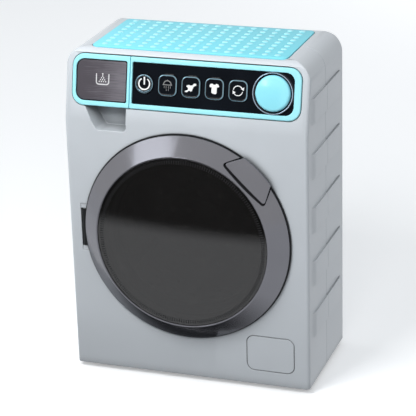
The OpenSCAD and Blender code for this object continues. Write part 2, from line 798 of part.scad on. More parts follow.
module door_tongue() color(dark_grey) at_door()
    translate([tongue_x, -tongue_w / 2, -tongue_len]) difference() {
        cube([tongue_t, tongue_w, tongue_len + door_gap - 0.02]);
        translate([-over, tongue_w / 2, 3]) rotate([0, 90, 0]) cylinder(r = 1.2, h = 4);
    }

module door_screws() color(steel) at_door() for (a = [20:60:320]) rotate(a)
    translate([door_r - ring_wall - 7, 0, door_gap - 0.4]) {
        cylinder(r = 2, h = 0.38);
        cylinder(r = screw_r - 0.3, h = 3);
    }

module hinge_bracket() color(grey) at_door() difference() {
    union() {
        slice(-wall - 2, -wall) translate([hinge_x - 6, -hinge_len / 2 - ear_t - 5])
            square([12, hinge_len + 2 * ear_t + 10]);
        for (side = [-1, 1]) translate([
            hinge_x - barrel_r - barrel_gap + 0.1,
            side * (hinge_len / 2 + ear_t / 2) - ear_t / 2 + 0.1, -wall - 0.1
        ]) cube([6, ear_t - 0.2, wall - 0.1]);
    }
    slice(-wall - 3, over) translate([hinge_x - barrel_r - barrel_gap, -hinge_len / 2])
        square([12, hinge_len]);
    translate([hinge_x, -hinge_len, -hinge_in]) rotate([-90, 0, 0])
        cylinder(r = pin_r + 0.02, h = 2 * hinge_len);
}

module hinge_pin() color(steel) at_door()
    translate([hinge_x, -hinge_len / 2 - ear_t + 0.2, -hinge_in]) rotate([-90, 0, 0])
        cylinder(r = pin_r, h = hinge_len + 2 * ear_t - 0.4);

// Clip behind the front face whose two leaves hold the tongue
module latch_catch() color(white) at_door() difference() {
    slice(-wall - 9, -wall) translate([tongue_x - 2.2, -tongue_w / 2 - 3])
        square([tongue_t + 4.4, tongue_w + 6]);
    slice(-wall - 7.6, over) translate([tongue_x - 0.6, -tongue_w / 2 - 0.6])
        square([tongue_t + 1.2, tongue_w + 1.2]);
}

// ---------- tub, seal and drum ----------

module tub() color(white) at_door() difference() {
    union() {
        ring(tub_r + tub_wall, tub_r, -tub_depth, -tub_front);
        slice(-tub_back, -tub_depth) circle(tub_r + tub_wall);
        ring(tub_r + 4.5, tub_r, -tub_front - 2, -tub_front);
        for (p = post_points) translate([p.x, p.y, -plate_depth]) cylinder(r = post_r, h = plate_depth - tub_back + 0.5);
        slice(-tub_depth - 0.1, -tub_depth + 1) circle(shaft_r + 3);
    }
    slice(-tub_back - over, 0) circle(shaft_r + run);
    translate([idler_at.x, idler_at.y, 0]) slice(-tub_back - over, -tub_depth - 0.4) circle(axle_r + 0.02);
}

module door_seal() color([0.5, 0.52, 0.55]) at_door() rotate_extrude($fn = 96) polygon([
    [seal_in, -seal_len], [seal_in, -1], [seal_in + 0.8, -0.2], [opening_r - 0.1, -0.2],
    [opening_r - 0.1, -wall - 0.1], [opening_r + 2, -wall - 0.1], [opening_r + 2, -wall - 1.9],
    [opening_r - 1.2, -wall - 1.9], [seal_in + 1.6, -seal_len]
]);

// Lifter: a round-topped rib standing in from the drum's wall
module lifter() {
    foot = drum_r - drum_wall / 2;
    translate([foot - lifter_h, 0]) circle(2.5);
    polygon([
        [foot - lifter_h, -2.5], [foot - lifter_h, 2.5], [foot - 2, 7], [foot, 8.5],
        [foot, -8.5], [foot - 2, -7]
    ]);
}

module drum() color(steel) at_door() translate([0, 0, -drum_depth - drum_len]) difference() {
    union() {
        ring(drum_r, drum_r - drum_wall, 0, drum_len);
        slice(0, drum_wall) circle(drum_r);
        ring(drum_r, drum_r - 5, drum_len - drum_wall, drum_len);
        slice(0, drum_wall + 2) circle(shaft_r + 6);
        for (a = [90:120:330]) rotate(a) slice(drum_wall / 2, drum_len - drum_wall / 2) lifter();
    }
    for (j = [0:hole_rows - 1], i = [0:hole_count - 1])
        let (a = (i + 0.5) * 360 / hole_count, pitch = (drum_len - 2 * drum_wall) / hole_rows)
            if (abs((a + 30) % 120 - 0) > 12 && abs((a + 30) % 120 - 120) > 12)
                rotate(a) translate([drum_r - 4, 0, drum_wall + pitch * (j + 0.5)]) rotate([0, 90, 0])
                    cylinder(r = hole_r, h = 8);
    for (k = [1:3], i = [0:6 * k - 1]) rotate(60 * i / k) translate([12 * k + 4, 0, -over])
        cylinder(r = hole_r, h = 4 + drum_wall);
    translate([0, 0, -over]) cylinder(r = shaft_r + 0.02, h = drum_wall + 2);
}

module drum_shaft() color(steel) at_door() slice(-plane_a - gear_t, -drum_depth - drum_len + drum_wall)
    circle(shaft_r);

// ---------- gear train ----------

// Involute of the pressure angle at radius r, in degrees
function involute(base, r) = let (c = acos(base / r)) tan(c) * 180 / PI - c;

// Half the angle of a tooth at radius r
function half_tooth(m, teeth, r) = let (p = m * teeth / 2, base = p * cos(pressure_angle))
    90 / teeth - backlash / 4 / p * 180 / PI + involute(base, p) - involute(base, max(r, base));

function polar(r, a) = [r * cos(a), r * sin(a)];

module gear_outline(m, teeth) {
    p = m * teeth / 2;
    root = p - 1.2 * m;
    tip = p + 0.9 * m;
    base = max(p * cos(pressure_angle), root + 0.1);
    steps = [for (k = [0:4]) base + (tip - base) * k / 4];
    polygon([for (i = [0:teeth - 1]) let (a = 360 * i / teeth) each concat(
        [polar(root, a - half_tooth(m, teeth, base) - 0.1)],
        [for (r = steps) polar(r, a - half_tooth(m, teeth, r))],
        [for (k = [4:-1:0]) polar(steps[k], a + half_tooth(m, teeth, steps[k]))],
        [polar(root, a + half_tooth(m, teeth, base) + 0.1)]
    )]);
}

module drum_gear() color(white) at_door() rotate(idler_dir) slice(-plane_a - gear_t, -plane_a)
    difference() {
        gear_outline(gear_m, drum_teeth);
        circle(shaft_r + 0.02);
        for (a = [0:60:300]) rotate(a) translate([gear_m * drum_teeth * 0.29, 0])
            circle(gear_m * drum_teeth * 0.09);
    }

module idler_gear() color(white) at_door() translate([idler_at.x, idler_at.y, 0]) difference() {
    union() {
        rotate(idler_dir + 180 + 180 / idler_small) slice(-plane_b - 0.1, -plane_a)
            gear_outline(gear_m, idler_small);
        rotate(motor_dir) slice(-plane_b - wheel_t, -plane_b) gear_outline(gear_m, idler_large);
    }
    slice(-plane_b - 2 * wheel_t, 0) circle(axle_r + run);
}

module idler_axle() color(steel) at_door() translate([idler_at.x, idler_at.y, 0])
    slice(-plate_depth - gearbox_t, -tub_depth - 0.5) circle(axle_r);

module motor_pinion() color(white) at_door() translate([motor_at.x, motor_at.y, 0]) {
    rotate(motor_dir + 180 + 180 / pinion_teeth) slice(-plane_b - wheel_t, -plane_b)
        gear_outline(gear_m, pinion_teeth);
    slice(-plate_depth - gearbox_t - 1, -plane_b - 1) circle(motor_shaft_r);
}

module gearbox_plate() color(white) at_door() slice(-plate_depth - gearbox_t, -plate_depth - 0.02)
    difference() {
        union() {
            circle(arm_w);
            for (p = concat(post_points, [motor_at])) {
                rotate(atan2(p.y, p.x)) translate([0, -arm_w / 2]) square([norm(p), arm_w]);
                translate(p) circle(post_r + 2);
            }
            translate(motor_at) circle(motor_r);
            translate(idler_at) circle(arm_w * 0.6);
        }
        translate(idler_at) circle(axle_r + 0.02);
        translate(motor_at) circle(3.4);
        circle(shaft_r + 2);
    }

module motor_can() color(steel) at_door() translate([motor_at.x, motor_at.y, 0]) difference() {
    union() {
        translate([0, 0, -body_d + wall + motor_gap])
            cylinder(r = motor_r, h = body_d - wall - motor_gap - plate_depth - gearbox_t);
        slice(-plate_depth - gearbox_t - 0.1, -plate_depth) circle(3.2);
    }
    slice(-plate_depth - gearbox_t - 2, 0) circle(motor_shaft_r + run);
}

// ---------- battery bay and speaker ----------

module battery_door() color(grey) difference() {
    translate([0, back_y, 0]) rotate([90, 0, 0]) slice(0, bay_door_t)
        round_rect(-bay_w / 2 - 3 + gap, bay_w / 2 + 3 - gap, bay_z0 - 3 + gap, bay_z0 + bay_h + 12 - gap, 2.6);
    along_y(0, bay_z0 + bay_h + 7, back_y - 5, back_y + over, screw_r + 0.2);
    along_y(0, bay_z0 + bay_h + 7, back_y - bay_head_t, back_y + over, head_r + 0.3);
}

module battery_screw() color(steel) screw(0, bay_z0 + bay_h + 7, back_y, 9, bay_head_t);

// Contact plates at both ends of the bay, with a spring for every other cell
module battery_contacts() color([0.78, 0.66, 0.38]) for (i = [-1:1], end = [0, 1]) {
    x = i * (bay_w - 2) / 3;
    z = end == 0 ? bay_z0 : bay_z0 + bay_h - 0.5;
    translate([x - 5, back_y - bay_d + 3, z]) cube([10, 10, 0.5]);
    if ((i + end) % 2 == 0) translate([x, back_y - bay_d + 8, end == 0 ? z + 0.4 : z - 2.9])
        cylinder(r1 = end == 0 ? 4 : 2.5, r2 = end == 0 ? 2.5 : 4, h = 3);
}

module speaker() color(black) {
    y1 = back_y - wall;
    along_y(speaker_at.x, speaker_at.y, y1 - 2, y1, speaker_r);
    along_y(speaker_at.x, speaker_at.y, y1 - speaker_t, y1 - 1.9, speaker_r * 0.55);
}

front_shell();
rear_shell();
top_panel();
feet();
case_screws();
control_frame();
control_fascia();
dial_ring();
circuit_board();
power_button();
program_button_1();
program_button_2();
program_button_3();
program_button_4();
dial_knob();
dial_shaft();
drawer_bay();
drawer_front();
drawer_plate();
drawer_tray();
door_ring();
door_window();
door_back();
door_handle();
door_hinge_arm();
door_tongue();
door_screws();
hinge_bracket();
hinge_pin();
latch_catch();
tub();
door_seal();
drum();
drum_shaft();
drum_gear();
idler_gear();
idler_axle();
motor_pinion();
motor_can();
gearbox_plate();
battery_door();
battery_screw();
battery_contacts();
speaker();
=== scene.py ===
import bpy
import bmesh
import math
from mathutils import Matrix, Vector


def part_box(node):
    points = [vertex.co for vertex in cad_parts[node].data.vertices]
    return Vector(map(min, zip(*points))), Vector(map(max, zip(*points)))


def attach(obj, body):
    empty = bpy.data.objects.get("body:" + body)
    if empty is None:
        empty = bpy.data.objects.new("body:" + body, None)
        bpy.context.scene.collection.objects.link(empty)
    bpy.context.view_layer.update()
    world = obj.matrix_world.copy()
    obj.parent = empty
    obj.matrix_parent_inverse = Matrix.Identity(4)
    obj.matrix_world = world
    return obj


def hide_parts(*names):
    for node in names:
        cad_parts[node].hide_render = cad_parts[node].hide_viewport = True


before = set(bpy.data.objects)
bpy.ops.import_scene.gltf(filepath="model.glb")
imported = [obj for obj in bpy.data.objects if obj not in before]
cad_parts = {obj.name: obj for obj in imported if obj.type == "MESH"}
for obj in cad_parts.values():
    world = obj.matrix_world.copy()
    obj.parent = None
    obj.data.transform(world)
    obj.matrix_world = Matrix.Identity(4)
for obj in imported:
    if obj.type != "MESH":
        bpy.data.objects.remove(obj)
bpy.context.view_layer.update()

# ---------------------------------------------------------------- shells
# Front and rear shells, injection moulded in pale grey plastic with a fine spark-eroded
# grain, with painted shade darkening their colour in deep corners and recesses. They meet
# on a plane round the machine and are screwed together from the back.
# Sizes are in millimetres up to the room, and MM turns them into metres.

MM = 0.001
WELD, FLAT_ANGLE = 0.002, 0.4
SHELL_GREY = (0.578, 0.613, 0.648)
SHELL_EDGE = 0.45
SHADE_REACH, SHADE_DEEPEST = 16.0, 0.08
WELL_R, GRILLE_R = 6.0, 17.0


def noise(tree, vector, scale, detail=2.0):
    """A soft random pattern over the given coordinates."""
    node = tree.nodes.new("ShaderNodeTexNoise")
    node.inputs["Scale"].default_value = scale
    node.inputs["Detail"].default_value = detail
    tree.links.new(vector, node.inputs["Vector"])
    return node.outputs["Fac"]


def toned(tree, value, dark, light, low=0.0, high=1.0):
    """A colour between two, for a value between low and high."""
    node = tree.nodes.new("ShaderNodeValToRGB")
    for stop, position, colour in zip(node.color_ramp.elements, (low, high), (dark, light)):
        stop.position = position
        stop.color = (*colour, 1)
    tree.links.new(value, node.inputs["Fac"])
    return node.outputs["Color"]


def ranged(tree, value, start, end, low=0.0, high=1.0, course="LINEAR"):
    """A number that goes from start to end as a value goes from low to high."""
    node = tree.nodes.new("ShaderNodeMapRange")
    node.interpolation_type = course
    node.inputs["From Min"].default_value = low
    node.inputs["From Max"].default_value = high
    node.inputs["To Min"].default_value = start
    node.inputs["To Max"].default_value = end
    tree.links.new(value, node.inputs["Value"])
    return node.outputs["Result"]


def moulded(name, colour, roughness, grain=0.45, depth=0.012, mottle=0.015, metallic=0.0):
    """Moulded plastic: a fine grain in the surface, and a slow drift in tone and sheen."""
    material = bpy.data.materials.new(name)
    material.use_nodes = True
    tree = material.node_tree
    shader = tree.nodes["Principled BSDF"]
    shader.inputs["Metallic"].default_value = metallic
    where = tree.nodes.new("ShaderNodeTexCoord").outputs["Object"]
    drift = noise(tree, where, 34.0, 3.0)
    dark = [c * (1 - mottle) for c in colour]
    light = [min(1, c * (1 + mottle)) for c in colour]
    tree.links.new(toned(tree, drift, dark, light, 0.32, 0.68), shader.inputs["Base Color"])
    tree.links.new(ranged(tree, drift, roughness * 0.88, roughness * 1.12), shader.inputs["Roughness"])
    bump = tree.nodes.new("ShaderNodeBump")
    bump.inputs["Strength"].default_value = 0.6
    bump.inputs["Distance"].default_value = depth * MM
    tree.links.new(noise(tree, where, 1 / (grain * MM)), bump.inputs["Height"])
    tree.links.new(bump.outputs["Normal"], shader.inputs["Normal"])
    return material


def painted_corner_shade(material, reach, deepest):
    """Painted shade: darkens a moulding's colour in its deep corners and recesses, where little light
    reaches.
    """
    tree = material.node_tree
    occlusion = tree.nodes.new("ShaderNodeAmbientOcclusion")
    occlusion.samples = 12
    occlusion.inputs["Distance"].default_value = reach * MM
    shaded_tone = tree.nodes.new("ShaderNodeVectorMath")
    shaded_tone.operation = "SCALE"
    tree.links.new(tree.nodes["Color Ramp"].outputs["Color"], shaded_tone.inputs[0])
    tree.links.new(ranged(tree, occlusion.outputs["AO"], deepest, 1.0, 0.2, 0.85), shaded_tone.inputs["Scale"])
    tree.links.new(shaded_tone.outputs["Vector"], tree.nodes["Principled BSDF"].inputs["Base Color"])
    return material


def placed(name, mesh, material, body, slot, *nodes):
    """Puts a finished mesh in the scene, on its body, standing for its CAD nodes."""
    mesh.materials.clear()
    mesh.materials.append(material)
    piece = bpy.data.objects.new(name, mesh)
    bpy.context.scene.collection.objects.link(piece)
    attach(piece, body)
    if nodes:
        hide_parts(*nodes)


def smoothed(mesh, angle):
    """Smooth shading, with edges sharper than the angle left crisp."""
    mesh.polygons.foreach_set("use_smooth", [True] * len(mesh.polygons))
    mesh.set_sharp_from_angle(angle=math.radians(angle))
    return mesh


def baked(piece):
    """The mesh that a piece has once its modifiers are applied."""
    graph = bpy.context.evaluated_depsgraph_get()
    mesh = bpy.data.meshes.new_from_object(piece.evaluated_get(graph))
    old = piece.data
    bpy.data.objects.remove(piece)
    bpy.data.meshes.remove(old)
    return mesh


def meshed(form, name):
    """Ends an edit: the form as a mesh of that name."""
    mesh = bpy.data.meshes.new(name)
    form.to_mesh(mesh)
    form.free()
    return mesh


def eased(mesh, width=0.0, steps=2, angle=32, crisp=()):
    """Rounds the sharp edges of a moulding by the given width, and keeps its flats flat.
    Edges inside a crisp disc, given by x, z and radius, stay as they are."""
    if width:
        form = bmesh.new()
        form.from_mesh(mesh)
        share = form.edges.layers.float.new("bevel_weight_edge")
        for edge in form.edges:
            spot = (edge.verts[0].co + edge.verts[1].co) / 2
            kept = any(math.hypot(spot.x - x, spot.z - z) < radius for x, z, radius in crisp)
            edge[share] = float(edge.calc_face_angle(0) > math.radians(angle) and not kept)
        form.to_mesh(mesh)
        form.free()
    blank = bpy.data.objects.new("blank", mesh)
    bpy.context.scene.collection.objects.link(blank)
    if width:
        bevel = blank.modifiers.new("eased_edges", "BEVEL")
        bevel.width = width * MM
        bevel.segments = steps
        bevel.limit_method = "WEIGHT"
        bevel.use_clamp_overlap = False
    flat = blank.modifiers.new("flat_faces", "WEIGHTED_NORMAL")
    flat.keep_sharp = True
    smoothed(mesh, 60)
    return baked(blank)


def merged(node):
    """An editable copy of a CAD node, with its loose triangles joined."""
    form = bmesh.new()
    form.from_mesh(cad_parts[node].data)
    bmesh.ops.remove_doubles(form, verts=form.verts, dist=WELD * MM)
    return form


def casting(node, width, steps=2, angle=32, crisp=()):
    """A copy of a moulded piece with its edges eased."""
    form = merged(node)
    bmesh.ops.dissolve_limit(form, angle_limit=math.radians(FLAT_ANGLE), verts=form.verts, edges=form.edges)
    return eased(meshed(form, node + "_form"), width, steps, angle, crisp)


def spots_of(node):
    """Where each loose part of a node lies: its middle across, its back, and its front."""
    form = merged(node)
    spots, left = [], set(form.verts)
    while left:
        island, edge = set(), [left.pop()]
        while edge:
            vert = edge.pop()
            island.add(vert)
            for link in vert.link_edges:
                other = link.other_vert(vert)
                if other in left:
                    left.discard(other)
                    edge.append(other)
        xs, ys, zs = zip(*[vert.co for vert in island])
        spots.append(((min(xs) + max(xs)) / 2, max(ys), (min(zs) + max(zs)) / 2, min(ys)))
    form.free()
    return sorted(spots)


# The shells' grey carries painted shade: it darkens in deep corners and recesses.
shell_plastic = painted_corner_shade(moulded("shell_plastic", SHELL_GREY, 0.38), SHADE_REACH, SHADE_DEEPEST)
drilled = [(x, z, radius * MM) for node, radius in (("case_screws", WELL_R), ("speaker", GRILLE_R))
           for x, _, z, _ in spots_of(node)]
placed("front_moulding", casting("front_shell", SHELL_EDGE), shell_plastic, "cabinet", "shell_grey",
       "front_shell")
placed("rear_moulding", casting("rear_shell", SHELL_EDGE, crisp=drilled), shell_plastic, "cabinet",
       "shell_grey", "rear_shell")

# ---------------------------------------------------------------- feet
# Four soft feet, moulded in dark grey rubber with a rounded lower edge, and stuck under
# the corners of the base.

FOOT_EDGE = 0.5
foot_rubber = moulded("foot_rubber", (0.10, 0.105, 0.11), 0.75, grain=0.7, depth=0.03, mottle=0.05)
placed("foot_pads", casting("feet", FOOT_EDGE), foot_rubber, "cabinet", "rubber_grey", "feet")

# ---------------------------------------------------------------- screws
# Zinc-plated pan-head screws with a cross recess: six at the bottom of their wells in the
# back, six through the door's liner, and one in the battery cover.

SCREWS = [("back_screws", "case_screws", 2.8, 1.8, "cabinet"),
          ("liner_screws", "door_screws", 2.0, 0.38, "door"),
          ("cover_screw", "battery_screw", 2.8, 0.9, "cabinet")]


def metal(name, colour, roughness, grain, stretch=(1, 1, 1), depth=0.004):
    """Plated or drawn metal: fine streaks along the drawing direction."""
    material = moulded(name, colour, roughness, grain=grain, depth=depth, mottle=0.08, metallic=1.0)
    nodes, links = material.node_tree.nodes, material.node_tree.links
    turn = nodes.new("ShaderNodeMapping")
    turn.inputs["Scale"].default_value = stretch
    links.new(nodes["Texture Coordinate"].outputs["Object"], turn.inputs["Vector"])
    links.new(turn.outputs["Vector"], nodes["Noise Texture.001"].inputs["Vector"])
    return material


def stacked(name, layers, place, closed=True):
    """A skin through outlines at rising heights, capped at both ends, or closed on itself
    as a ring."""
    form = bmesh.new()
    rows = [[form.verts.new(place @ (Vector((x, y, z)) * MM)) for x, y in points] for points, z in layers]
    count = len(rows[0])
    for low, high in zip(rows, rows[1:] if closed else rows[1:] + rows[:1]):
        for k in range(count):
            form.faces.new((low[k], low[(k + 1) % count], high[(k + 1) % count], high[k]))
    if closed:
        form.faces.new(list(reversed(rows[0])))
        form.faces.new(rows[-1])
    bmesh.ops.recalc_face_normals(form, faces=form.faces)
    return meshed(form, name)


def disc_outline(radius, steps=48):
    """Points round a circle."""
    return [(radius * math.cos(2 * math.pi * k / steps), radius * math.sin(2 * math.pi * k / steps))
            for k in range(steps)]


def cross_outline(reach, half, steps=48):
    """Points round a cross with four arms, as many as round a circle."""
    points = []
    for k in range(steps):
        turn = 2 * math.pi * k / steps
        off = (turn + math.pi / 4) % (math.pi / 2) - math.pi / 4
        r = min(reach / math.cos(off), half / max(abs(math.sin(off)), 1e-6))
        points.append((r * math.cos(turn), r * math.sin(turn)))
    return points


def node_tree(name, *given):
    """A geometry node group with a geometry output and the named inputs."""
    tree = bpy.data.node_groups.new(name, "GeometryNodeTree")
    tree.interface.new_socket("Geometry", in_out="OUTPUT", socket_type="NodeSocketGeometry")
    keys = {}
    for label, kind in given:
        socket = tree.interface.new_socket(label, in_out="INPUT", socket_type="NodeSocket" + kind)
        keys[label] = socket.identifier
    return tree, keys, tree.nodes.new("NodeGroupInput"), tree.nodes.new("NodeGroupOutput")


def realised(tree, instances, out, material):
    """Ends a node group: real instances in their material."""
    real = tree.nodes.new("GeometryNodeRealizeInstances")
    coat = tree.nodes.new("GeometryNodeSetMaterial")
    coat.inputs["Material"].default_value = material
    tree.links.new(instances, real.inputs["Geometry"])
    tree.links.new(real.outputs["Geometry"], coat.inputs["Geometry"])
    tree.links.new(coat.outputs["Geometry"], out.inputs["Geometry"])


def grown(name, mesh, tree, keys, values):
    """The mesh that a node group makes on a carrier, with its inputs set."""
    carrier = bpy.data.objects.new(name, mesh)
    bpy.context.scene.collection.objects.link(carrier)
    modifier = carrier.modifiers.new(name, "NODES")
    modifier.node_group = tree
    for label, value in values.items():
        modifier[keys[label]] = value
    return baked(carrier)


def one_screw(head_r, head_t, length):
    """A screw along Y with its head at the back: shank, rounded head and cross recess."""
    shank_r = head_r / 2
    shank = [(shank_r * 0.5, -length), (shank_r, -length + 1.0), (shank_r, -head_t)]
    head = [(head_r, -head_t), (head_r, -head_t * 0.55), (head_r * 0.94, -head_t * 0.2),
            (head_r * 0.82, -head_t * 0.04), (head_r * 0.7, 0.0)]
    recess = [(cross_outline(head_r * 0.55, head_r * 0.13), 0.0),
              (cross_outline(head_r * 0.42, head_r * 0.1), -head_t * 0.6)]
    layers = [(disc_outline(radius), height) for radius, height in shank + head]
    return smoothed(stacked("one_screw", layers + recess, Matrix.Rotation(math.radians(-90), 4, "X")), 35)


def screw_set(name, node, head_r, head_t, material):
    """Geometry nodes: one screw on each of a node's screws."""
    spots = spots_of(node)
    source = bpy.data.objects.new("one_screw", one_screw(head_r, head_t, (spots[0][1] - spots[0][3]) / MM))
    bpy.context.scene.collection.objects.link(source)
    tree, keys, given, out = node_tree("screw_set", ("Points", "Geometry"), ("Screw", "Object"))
    info = tree.nodes.new("GeometryNodeObjectInfo")
    tree.links.new(given.outputs["Screw"], info.inputs["Object"])
    place = tree.nodes.new("GeometryNodeInstanceOnPoints")
    tree.links.new(given.outputs["Points"], place.inputs["Points"])
    tree.links.new(info.outputs["Geometry"], place.inputs["Instance"])
    realised(tree, place.outputs["Instances"], out, material)
    dots = bpy.data.meshes.new(name)
    dots.from_pydata([(x, y, z) for x, y, z, _ in spots], [], [])
    mesh = grown(name, dots, tree, keys, {"Screw": source})
    bpy.data.objects.remove(source)
    return mesh


zinc = metal("zinc_plate", (0.62, 0.63, 0.65), 0.34, 0.3)
for name, node, head_r, head_t, body in SCREWS:
    placed(name, screw_set(name, node, head_r, head_t, zinc), zinc, body, "steel", node)

# ---------------------------------------------------------------- top plate
# A plate moulded in turquoise, dropped into the pocket on top. Its round bumps stand on a
# grid and are moulded with it. The flat has a satin face, and the bumps are glossier and
# coloured paler than the flat as a painted highlight.

BODY_TOP = 254.5
LID_PROUD, LID_THICK, LID_CORNER = 0.6, 2.0, 4.0
LID_EDGE = [(0.0, -0.5), (0.12, -0.18), (0.5, 0.0)]
BUMP_WIDE, BUMP_HIGH, BUMP_PITCH, BUMP_ROW = 4.6, 0.6, 9.4, 7.9
BUMP_END = 8.0
lid_low, lid_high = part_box("top_panel")
lid_top = BODY_TOP + LID_PROUD
lid_foot = lid_top - LID_THICK


def round_outline(x0, x1, y0, y1, left, right, steps=8):
    """Points round a rectangle, anticlockwise, with its own radius at each end."""
    corners = [(x1 - right, y0 + right, right, -90), (x1 - right, y1 - right, right, 0),
               (x0 + left, y1 - left, left, 90), (x0 + left, y0 + left, left, 180)]
    return [(cx + r * math.cos(math.radians(start + 90 * k / steps)),
             cy + r * math.sin(math.radians(start + 90 * k / steps)))
            for cx, cy, r, start in corners for k in range(steps + 1)]


def lid_layer(inset, height):
    """The plate's outline, moved in, at a height."""
    return round_outline(lid_low.x / MM + inset, lid_high.x / MM - inset, lid_low.y / MM + inset,
                         lid_high.y / MM - inset, LID_CORNER - inset, LID_CORNER - inset), height


def reckoned(tree, operation, *terms):
    """A sum done by a node, where each term is a socket or a number."""
    node = tree.nodes.new("ShaderNodeMath")
    node.operation = operation
    for slot, term in zip(node.inputs, terms):
        if isinstance(term, float):
            slot.default_value = term
        else:
            tree.links.new(term, slot)
    return node.outputs[0]


def bump_grid(pitch, row, wide, high, columns, rows, material):
    """Geometry nodes: domes on a grid of points."""
    tree, keys, given, out = node_tree("bump_grid", ("Pitch", "Float"), ("Row", "Float"), ("Radius", "Float"),
                                       ("Height", "Float"), ("Columns", "Int"), ("Rows", "Int"))
    nodes, links = tree.nodes, tree.links

    def span(step, count):
        """How long the grid is: one step fewer than it has points."""
        return reckoned(tree, "MULTIPLY", reckoned(tree, "SUBTRACT", given.outputs[count], 1.0),
                        given.outputs[step])

    grid = nodes.new("GeometryNodeMeshGrid")
    links.new(span("Pitch", "Columns"), grid.inputs["Size X"])
    links.new(span("Row", "Rows"), grid.inputs["Size Y"])
    links.new(given.outputs["Columns"], grid.inputs["Vertices X"])
    links.new(given.outputs["Rows"], grid.inputs["Vertices Y"])
    dome = nodes.new("GeometryNodeMeshUVSphere")
    dome.inputs["Segments"].default_value = 16
    dome.inputs["Rings"].default_value = 8
    dome.inputs["Radius"].default_value = 1.0
    flatten = nodes.new("ShaderNodeCombineXYZ")
    for axis in "XY":
        links.new(given.outputs["Radius"], flatten.inputs[axis])
    links.new(given.outputs["Height"], flatten.inputs["Z"])
    place = nodes.new("GeometryNodeInstanceOnPoints")
    links.new(grid.outputs["Mesh"], place.inputs["Points"])
    links.new(dome.outputs["Mesh"], place.inputs["Instance"])
    links.new(flatten.outputs["Vector"], place.inputs["Scale"])
    realised(tree, place.outputs["Instances"], out, material)
    return grown("bump_grid", bpy.data.meshes.new("bump_grid"), tree, keys,
                 {"Pitch": pitch, "Row": row, "Radius": wide / 2, "Height": high, "Columns": columns,
                  "Rows": rows})


def dulled(material, level):
    """Sets how strongly a plastic mirrors the room, seen straight on."""
    material.node_tree.nodes["Principled BSDF"].inputs["Specular IOR Level"].default_value = level
    return material


lid_plastic = dulled(moulded("lid_plastic", (0.235, 0.76, 0.88), 0.5, grain=0.6, depth=0.006, mottle=0.02),
                     0.3)
# Painted highlight: the bumps are coloured paler than the flat.
highlit_bump_plastic = moulded("highlit_bump_plastic", (0.40, 0.86, 0.94), 0.3, grain=0.6, depth=0.004, mottle=0.02)
plate = stacked("lid", [lid_layer(0.3, lid_foot), lid_layer(0, lid_foot + 0.3)] +
                [lid_layer(inset, lid_top + drop) for inset, drop in LID_EDGE], Matrix.Identity(4))
columns = int(((lid_high.x - lid_low.x) / MM - 2 * BUMP_END) // BUMP_PITCH) + 1
rows = int(((lid_high.y - lid_low.y) / MM - 2 * BUMP_WIDE) // BUMP_ROW) + 1
domes = bump_grid(BUMP_PITCH * MM, BUMP_ROW * MM, BUMP_WIDE * MM, BUMP_HIGH * MM, columns, rows, highlit_bump_plastic)
lid_middle = (lid_low + lid_high) / 2
domes.transform(Matrix.Translation((lid_middle.x, lid_middle.y, lid_top * MM)))
placed("top_plate", smoothed(plate, 35), lid_plastic, "cabinet", "turquoise", "top_panel")
placed("top_plate_bumps", smoothed(domes, 60), highlit_bump_plastic, "cabinet", "turquoise")

# ---------------------------------------------------------------- control frame and panel
# A turquoise frame with a skirt that drops into the shell's pocket and six pegs that carry
# the circuit board, and a black panel with a mirror gloss set flush in it. On the leaning
# face x runs across, y up the slope, and heights stand square to it.

LEAN_Z, LEAN, FRONT_Y = 202.0, 12.5, -40.65
FRAME_RIGHT, FRAME_LOW, FRAME_HIGH = 87.0, 10.7, 48.7
FRAME_R, FRAME_PROUD, POCKET = 9.0, 1.2, 1.2
FRAME_BORDER, FRAME_END, FRAME_LIP = 3.7, 5.0, 1.6
SEAM_X, SEAM_GAP, SEAM_R, SEAM_EASE = -42.2, 0.3, 0.6, 0.25
FACE_R, FACE_SEAM_R, FACE_T, FACE_OUT = 6.5, 1.2, 1.4, 0.2
SKIRT, SKIRT_T, SKIRT_R, LEDGE = 2.6, 1.4, 4.2, 2.95
PEG_R, PEG_DEEP, PEG_EDGE, PEG_XS = 1.0, 7.35, 4.15, (-32.3, 20.85, 70.0)
PANEL_EDGE = 0.15
# How far the frame's rounded outer and inner edges move in, and how far they drop there.
ROLL_OVER = [(0.0, -1.1), (0.08, -0.7), (0.3, -0.3), (0.62, -0.08), (1.1, 0.0)]
ROLL_IN = [(-0.5, 0.0), (-0.15, -0.12), (0.0, -0.45)]
TURQUOISE = (0.37, 0.83, 0.91)
GLOSS_BLACK = (0.006, 0.0075, 0.0105)
lean_turn = Matrix.Rotation(math.radians(90 - LEAN), 4, "X")
panel_place = Matrix.Translation((0, FRONT_Y * MM, LEAN_Z * MM)) @ lean_turn
panel_x0 = SEAM_X + SEAM_GAP
skirt_low = -FACE_T - SKIRT


def turned(name, profile, place, around=96):
    """A closed solid of revolution: (radius, height) points, from the axis back to the axis
    or round a ring."""
    solid = profile[0][0] == 0 and profile[-1][0] == 0
    form = bmesh.new()
    rows = []
    for radius, height in profile:
        if radius == 0:
            rows.append([form.verts.new(place @ (Vector((0, 0, height)) * MM))])
        else:
            rows.append([form.verts.new(place @ (Vector((radius * math.cos(2 * math.pi * k / around),
                                                         radius * math.sin(2 * math.pi * k / around),
                                                         height)) * MM)) for k in range(around)])
    pairs = list(zip(rows, rows[1:])) + ([] if solid else [(rows[-1], rows[0])])
    for low, high in pairs:
        for k in range(around):
            n = (k + 1) % around
            corners = [low[k % len(low)], low[n % len(low)], high[n % len(high)], high[k % len(high)]]
            form.faces.new(list(dict.fromkeys(corners)))
    bmesh.ops.recalc_face_normals(form, faces=form.faces)
    return smoothed(meshed(form, name), 40)


def frame_layer(x0, x1, left, right, inset, height, seam=""):
    """The frame's outline moved in; the end that meets the other piece moves in less."""
    held = min(inset, SEAM_EASE)
    return round_outline(x0 + (held if seam == "left" else inset), x1 - (held if seam == "right" else inset),
                         FRAME_LOW + inset, FRAME_HIGH - inset, max(left - inset, 0.08),
                         max(right - inset, 0.08)), height


